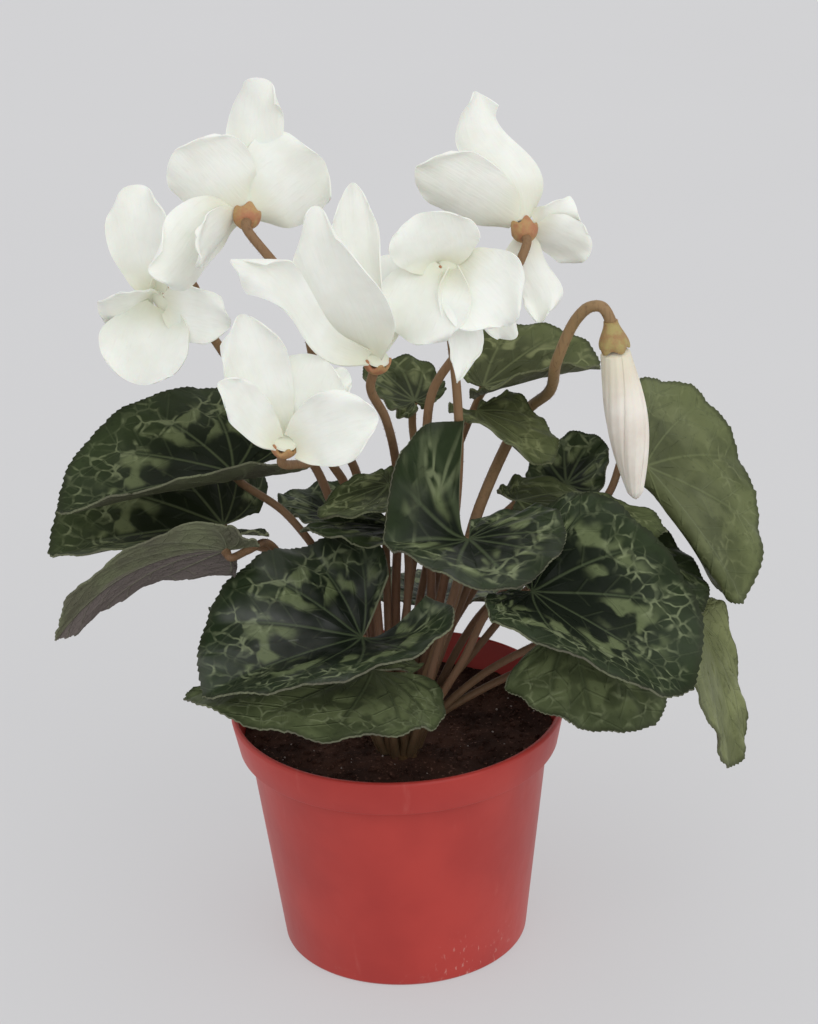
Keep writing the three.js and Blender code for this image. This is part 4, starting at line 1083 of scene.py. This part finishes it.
BLOOMS = [
    Bloom("flower_1", centre=(-44, -4, 282), axis=(0, 1, 0.15), neck=5, root=(-3.7, 0),
          via=[(-10, 2, 146), (-15, 12, 172), (-21, 6, 188), (-28, -18, 257)],
          petals=[
              Petal(tip=(-38, 6, 327), width=20, foot=0.7, end=0.6, twist=-30),
              Petal(tip=(-65, -4, 307), width=32, foot=0.5, widest=0.55),
              Petal(tip=(-75, -28, 270), width=28, foot=0.4, end=1.1, sway=2),
              Petal(tip=(-60, -32, 277), width=17),
              Petal(tip=(-18, 4, 298), width=37, foot=0.5, widest=0.5),
          ]),
    Bloom("flower_2", centre=(-75, 2, 250), axis=(-0.6, -0.6, -0.2), root=(-7.4, 0),
          via=[(-14, 4, 140), (-22, 14, 170), (-29, 14, 186), (-58, 8, 232)],
          petals=[
              Petal(tip=(-82, 8, 290), face=(-0.3, -1, 0.1), width=25, foot=0.5),
              Petal(tip=(-85, -16, 227), face=(-0.5, -1, 0), width=34, foot=0.5),
              Petal(tip=(-51, -16, 249), face=(-0.1, -1, 0.1), width=21, foot=0.5, widest=0.4),
              Petal(tip=(-96, -6, 253), width=25),
              Petal(tip=(-66, 22, 264), bend=50),
          ]),
    Bloom("flower_3", centre=(-2, -22, 235), axis=(0.2, -0.35, 0.9), root=(0, 0),
          via=[(1, -2, 136), (3, 14, 160), (3, 11, 180), (0, -4, 205)],
          petals=[
              Petal(tip=(-21, -34, 295), face=(-0.3, -1, 0.2), width=32, foot=0.5, widest=0.4,
                    end=1.2, sway=-1),
              Petal(tip=(-8, -4, 292), face=(-0.3, -1, 0.2), width=18, widest=0.75),
              Petal(tip=(-48, -56, 285), face=(-0.2, -0.7, 0.7), width=15, foot=0.3, widest=0.75,
                    bend=0, sway=4),
              Petal(tip=(2, 6, 262), face=(0.2, -1, 0.2), width=18),
          ]),
    Bloom("flower_4", centre=(24, -8, 263), axis=(0.1, -0.35, 0.93), root=(3.7, 0),
          via=[(15, -9, 130), (22, -2, 160), (25, -2.4, 190), (25, -2.4, 212)],
          petals=[
              Petal(tip=(9, -25, 242), face=(-0.5, -0.8, 0.3), width=35, foot=0.5, widest=0.5,
                    bend=50, cup=5),
              Petal(tip=(16, -16, 285), face=(0, -1, 0.3), width=32, foot=0.5, bend=40),
              Petal(tip=(45, -30, 250), face=(0.2, -0.9, 0.3), width=32, foot=0.5, end=1.1,
                    bend=50, twist=20),
              Petal(tip=(25, -29, 228), face=(0.6, -0.8, 0.3), width=17, foot=0.6, end=1.2, sway=-2),
              Petal(tip=(44, -8, 235), face=(0.3, -0.9, 0.3), width=15),
          ]),
    Bloom("flower_5", centre=(50, 16, 266), axis=(-0.1, 0.9, 0.4), neck=3, root=(5.6, 3.2),
          via=[(13, -5, 130), (14, 3, 168), (14, 6, 195), (17, 9, 210), (28, 9, 226), (39, 5, 241),
               (46, 4, 254)],
          petals=[
              Petal(tip=(34, 26, 312), face=(-0.1, 1, 0.2), width=19, foot=0.9, widest=0.35,
                    twist=30, sway=3),
              Petal(tip=(15, 6, 294), face=(-0.1, 1, 0.2), width=26),
              Petal(tip=(70, 20, 266), width=17, foot=0.7),
              Petal(tip=(72, 14, 255), width=19, foot=0.6),
              Petal(tip=(55, 0, 238), width=15, foot=0.8, sway=2),
          ]),
    Bloom("flower_6", centre=(-34, -44, 215), axis=(0.15, -0.35, 0.9), neck=5, root=(-3.7, -6.4),
          via=[(-6, -8, 138), (-9, 11, 166), (-14, 4, 188), (-28, -28, 200)],
          petals=[
              Petal(tip=(-47, -46, 262), face=(0.4, -1, 0.2), width=24, foot=0.5, bend=0),
              Petal(tip=(-22, -36, 243), face=(-0.1, -1, 0.3), width=30, foot=0.5, cup=10),
              Petal(tip=(-3, -56, 231), face=(0, -1, 0.4), width=26, foot=0.4, end=0.9),
              Petal(tip=(-53, -60, 245), face=(0.7, -0.7, 0.2), width=16, foot=0.6, bend=0),
              Petal(tip=(-12, -34, 236), face=(-0.4, -1, 0.3), width=16),
          ]),
]
BUD = Bloom("bud", centre=(79.5, -4, 228), axis=(0.12, -0.03, -1), root=(3.7, -6.4), neck=1,
            via=[(21, -13, 138), (32, 8, 165), (49, 34, 188), (58, 20, 203),
                 (60, 6, 220), (66.5, 1, 237), (71.5, -2, 243), (75.5, -4, 243.5)])


def calyx_shape(calyx, foot, axis):
    end_radius = calyx.stalk_radius * (1 + FLOWER_STALK_HEAD[0])
    outside = [(end_radius, 0)]
    for k in range(1, CALYX_LEVELS + 1):
        t = k / CALYX_LEVELS
        swell = math.sin(t * math.pi / 2) ** calyx.shoulder
        outside.append((end_radius + (calyx.radius - end_radius) * swell, calyx.length * t))
    inside = [(radius - CALYX_WALL, height) for radius, height in reversed(outside[CALYX_HOLLOW:])]
    shape = spun([(0, 0), *outside, *inside, (0, calyx.length * CALYX_FLOOR)], CALYX_STEPS)
    for vert in shape.verts:
        angle = math.atan2(vert.co.y, vert.co.x)
        high = max(0, vert.co.z / calyx.length - 0.45) / 0.55
        point = 0.5 + 0.5 * math.cos(SEPALS * angle)
        vert.co.z += calyx.sepal_point * high * (point - 0.35)
        vert.co.xy *= 1 + (SEPAL_LOBE * math.cos(SEPALS * angle) - 0.1 * high * high) * high
    shape.transform(aimed(foot, axis))
    return shape


def add_shape(shape, addition, material_index):
    """Adds a second bmesh to the first, with another of the piece's materials on it."""
    mesh = bpy.data.meshes.new("addition")
    addition.to_mesh(mesh)
    addition.free()
    face_count = len(shape.faces)
    shape.from_mesh(mesh)
    bpy.data.meshes.remove(mesh)
    shape.faces.ensure_lookup_table()
    for face in shape.faces[face_count:]:
        face.material_index = material_index


def flower_stalk_shape(bloom, calyx):
    axis = Vector(bloom.axis).normalized()
    foot = Vector(bloom.centre) - axis * (GAP + calyx.length)
    end = Vector(bloom.centre) - axis * (GAP + calyx.length - CALYX_GRIP)
    points = [*stalk_start(bloom.root), *map(Vector, bloom.via), end - axis * bloom.neck, end]
    shape = stalk_shape(bloom.name, points, calyx.stalk_radius, FLOWER_STALK_FOOT, FLOWER_STALK_HEAD)
    add_shape(shape, calyx_shape(calyx, foot, axis), 1)
    return shape


def calyx_skin(name, stem_end, rim):
    paint = Paint(name, Specular_IOR_Level=0.3, Subsurface_Weight=0.1, Subsurface_Scale=1.0 * MM)
    place = paint.place()
    patch = paint.mottle(place, 4)
    fleck = paint.mottle(place, 0.9, detail=5)
    colour = paint.mix(patch.rises(0.35, 0.65), stem_end, rim)
    colour = paint.mix(fleck.rises(0.6, 0.75) * 0.35, colour, CALYX_FLECK)
    return paint.surface(Base_Color=colour, Roughness=0.5 + 0.2 * fleck, Normal=paint.bump(fleck, 0.25))


flower_stalk_skin = stalk_skin("flower stalk skin", low=linear(94, 76, 54), middle=linear(122, 90, 68),
                               high=linear(142, 112, 82))
bud_stalk_skin = stalk_skin("bud stalk skin", low=linear(98, 80, 56), middle=linear(130, 102, 74),
                            high=linear(156, 128, 92))
orange_calyx = calyx_skin("orange-tan sepals", linear(180, 124, 92), linear(186, 150, 102))
olive_calyx = calyx_skin("olive sepals", linear(166, 132, 90), linear(176, 160, 104))
for bloom in BLOOMS:
    flower_stalk_mesh = finish_mesh(flower_stalk_shape(bloom, FLOWER_CALYX), f"stalk_{bloom.name}")
    add_piece(f"stalk_{bloom.name}", flower_stalk_mesh, f"{bloom.name}_stalk", "stalk", flower_stalk_skin,
              orange_calyx)
bud_stalk_mesh = finish_mesh(flower_stalk_shape(BUD, BUD_CALYX), "stalk_bud")
add_piece("stalk_bud", bud_stalk_mesh, "bud_stalk", "stalk", bud_stalk_skin, olive_calyx)


# Petals
# Four or five broad, thin, slightly waxy white petals to a flower, joined at the base round its pale
# heart. Each has its own bend, cup and twist, a curled edge and faint lengthwise veins.
PETAL_SHOULDER = 0.17  # how far the sides of its end fall back behind the middle
PETAL_WAVE = 1.5  # a slow wave across it
WAVE_SPREAD = 260  # how many degrees of that wave lie between its middle and an edge
RUFFLE = 0.7  # short waves along its edges
CURL = 1.6  # longer ones, close to the edge and the end
PETAL_THICKNESS = 0.5
PETAL_STEPS = 40
PETAL_STRIPS = 32
PETAL_ROOT_RADIUS = 3.6  # where its root is, out from the middle of the flower's base
PETAL_ROOT_HEIGHT = 0.8
ROOT_SHARE = 0.14  # of its length, over which it narrows to its root, by the next share
ROOT_NARROWING = 0.15
ROOT_WIDTH = 0.5  # the least width of a petal's root, as a share of the petal's greatest
ROOT_CUP = 160  # a petal's cup at its root, where it wraps round its neighbours
ROOT_CUP_SHARE = 0.25  # of its length, over which that cup opens
PETAL_PHASE = 1.7  # from one petal's waves to the next one's
HEART = [(0, 1.5), (2.4, 1.3), (3.68, 0.8), (4, 0.2)]  # the profile of the low dome in the middle
HEART_STEPS = 40
PAINTED_PETAL_GLOW = 0.05  # painted glow: the petals give off a little light of their own, in place of light coming through them
PETAL_VEIN = linear(218, 220, 208)


def petal_profile(u, petal):
    """The petal's width at this share of its length, as a share of its greatest."""
    if u < petal.widest:
        foot = max(petal.foot, ROOT_WIDTH)
        narrow = 1 - ROOT_NARROWING + ROOT_NARROWING * min(1, u / ROOT_SHARE)
        return narrow * (foot + (1 - foot) * math.sin(math.pi / 2 * u / petal.widest))
    return math.cos((u - petal.widest) / (1 - petal.widest) * petal.end)


class PetalFrame:
    """The directions of a petal: along it, across it, and up out of its inner side."""

    def __init__(self, bloom, petal):
        centre = Vector(bloom.centre)
        axis = Vector(bloom.axis).normalized()
        to_tip = Vector(petal.tip) - centre
        outward = (to_tip - axis * to_tip.dot(axis)).normalized()
        self.start = centre + outward * PETAL_ROOT_RADIUS + axis * PETAL_ROOT_HEIGHT
        reach = Vector(petal.tip) - self.start
        self.chord = reach.length
        self.along = reach.normalized()
        face = Vector(petal.face) if petal.face else axis
        self.up = (face - self.along * face.dot(self.along)).normalized()
        self.side = self.up.cross(self.along)


def petal_point(petal, directions, u, w, phase):
    """The point at share u of the petal's length, where w goes from -1 to 1 across it."""
    bend = math.radians(petal.bend)
    size = arc_length(directions.chord, bend)
    half = petal.width / 2 * petal_profile(u, petal)
    forward = size * u * (1 - PETAL_SHOULDER * w * w * u * u)
    cup = petal.cup + (ROOT_CUP - petal.cup) * max(0, 1 - u / ROOT_CUP_SHARE) ** 2
    out, lift = arc(half * w, math.radians(cup), petal.width / 2)
    ripple = PETAL_WAVE * u * u * math.sin(math.radians(w * WAVE_SPREAD)) * abs(w)
    ripple += RUFFLE * abs(w) ** 3 * u * math.sin(15 * u + phase + 2 * w)
    ripple += CURL * max(abs(w), u) ** 6 * u * math.sin(6 * u + 2 * phase + 4 * w)
    turn = math.radians(petal.twist) * u * u
    lift += ripple
    across = out * math.cos(turn) - lift * math.sin(turn) + petal.sway * math.sin(2 * math.pi * u)
    raised = out * math.sin(turn) + lift * math.cos(turn)
    p, r = bend_along(forward, raised, bend, size)
    return directions.start + directions.along * p + directions.side * across + directions.up * r


def petals_shape(bloom):
    shape = spun(HEART, HEART_STEPS)
    shape.transform(aimed(Vector(bloom.centre), Vector(bloom.axis).normalized()))
    petal_layer = shape.verts.layers.float_vector.new("petal")
    for number, petal in enumerate(bloom.petals):
        directions = PetalFrame(bloom, petal)
        made = bmesh.ops.create_grid(shape, x_segments=PETAL_STRIPS, y_segments=PETAL_STEPS, size=1)
        for vert in made["verts"]:
            u, w = (vert.co.y + 1) / 2, vert.co.x
            vert.co = petal_point(petal, directions, u, w, PETAL_PHASE * number)
            vert[petal_layer] = (w * petal.width / 2 * petal_profile(u, petal), u, number)
    return shape


def petal_skin(name, white, shade, foot):
    # The emission is a painted glow that lifts the petals' shaded sides.
    paint = Paint(name, Specular_IOR_Level=0.15, Subsurface_Weight=0.1, Subsurface_Scale=1.0 * MM,
                  Emission_Color=white, Emission_Strength=PAINTED_PETAL_GLOW)
    along = paint.attribute("petal")
    u = paint.split(along)[1]
    place = paint.place()
    veins = paint.mottle(paint.stretched(along, (1, 4, 1)), 0.9)
    cloud = paint.mottle(place, 12)
    colour = paint.mix(cloud.rises(0.3, 0.7), white, shade)
    colour = paint.mix(veins.rises(0.55, 0.75) * 0.18, colour, PETAL_VEIN)
    # Warm grey towards the root: partly the petal's own base tint and partly painted shade in the cup where
    # the petals wrap round each other.
    colour = paint.mix(u.rises(0.4, 0.0) * 0.6, colour, foot)
    return paint.surface(
        Base_Color=colour,
        Roughness=0.5 + 0.14 * cloud,
        Normal=paint.bump(veins, 0.14),
    )


# The foot colour is the warm grey at the petals' roots, partly base tint and partly painted shade.
white_petal = petal_skin("white petal", white=linear(244, 246, 239), shade=linear(236, 238, 229),
                         foot=linear(212, 212, 184))
for bloom in BLOOMS:
    sheet_piece(petals_shape(bloom), f"petals_{bloom.name}", f"{bloom.name}_petals", "petal",
                PETAL_THICKNESS, white_petal)


# Bud
# A closed flower: the five petals are rolled round each other into a slim cream spindle with a
# slow twist and soft ribs, hanging from its long olive calyx.
BUD_LENGTH = 57
BUD_RADIUS = 7.4
BUD_NECK_RADIUS = 5.1
BUD_TIP_RADIUS = 2.1
BUD_WIDEST = 0.42  # where along it that is
BUD_TWIST = 75
BUD_BOW = -0.8
BUD_PLEATS = 5
PLEAT_SWELL = 0.05  # how far a pleat swells in its middle, and how far its edge stands over the next
PLEAT_EDGE = 0.05
BUD_RIBS = 15
BUD_RIB = 0.014
BUD_BODY = 0.93  # the radius under the pleats, as a share of the bud's
BUD_STEPS = 120
BUD_LEVELS = 70


def bud_shape():
    shape = bmesh.new()
    bmesh.ops.create_uvsphere(shape, u_segments=BUD_STEPS, v_segments=BUD_LEVELS, radius=1)
    bud_layer = shape.verts.layers.float_vector.new("petal")
    for vert in shape.verts:
        t = math.acos(max(-1, min(1, -vert.co.z))) / math.pi
        angle = math.atan2(vert.co.y, vert.co.x)
        inside = math.hypot(vert.co.x, vert.co.y) > 0.001
        if t < BUD_WIDEST:
            round_off = math.sin(math.pi / 2 * t / BUD_WIDEST) ** 1.4
            reach = BUD_NECK_RADIUS + (BUD_RADIUS - BUD_NECK_RADIUS) * round_off
        else:
            round_off = math.cos(math.pi / 2 * (t - BUD_WIDEST) / (1 - BUD_WIDEST))
            reach = BUD_TIP_RADIUS + (BUD_RADIUS - BUD_TIP_RADIUS) * round_off
        closing = min(1, math.sqrt(50 * t), math.sqrt(18 * (1 - t)))
        pleat = (angle / (2 * math.pi) * BUD_PLEATS) % 1
        relief = PLEAT_SWELL * math.sin(math.pi * pleat) + PLEAT_EDGE * pleat ** 2
        relief += BUD_RIB * math.cos(BUD_RIBS * angle + 5 * t)
        radius = reach * closing * (BUD_BODY + relief) * inside
        turn = angle + math.radians(BUD_TWIST) * t
        bow = BUD_BOW * math.sin(math.pi * t)
        vert.co = (radius * math.cos(turn) + bow, radius * math.sin(turn), t * BUD_LENGTH)
        vert[bud_layer] = (pleat * 9, t, 0)
    bmesh.ops.recalc_face_normals(shape, faces=shape.faces)
    shape.transform(aimed(Vector(BUD.centre), Vector(BUD.axis).normalized()))
    return shape


# Its foot colour, too, is partly base tint and partly painted shade.
cream_petal = petal_skin("cream bud petal", white=linear(243, 237, 226), shade=linear(228, 218, 205),
                         foot=linear(222, 214, 182))
add_piece("petals_bud", finish_mesh(bud_shape(), "petals_bud"), "bud_petals", "petal", cream_petal)
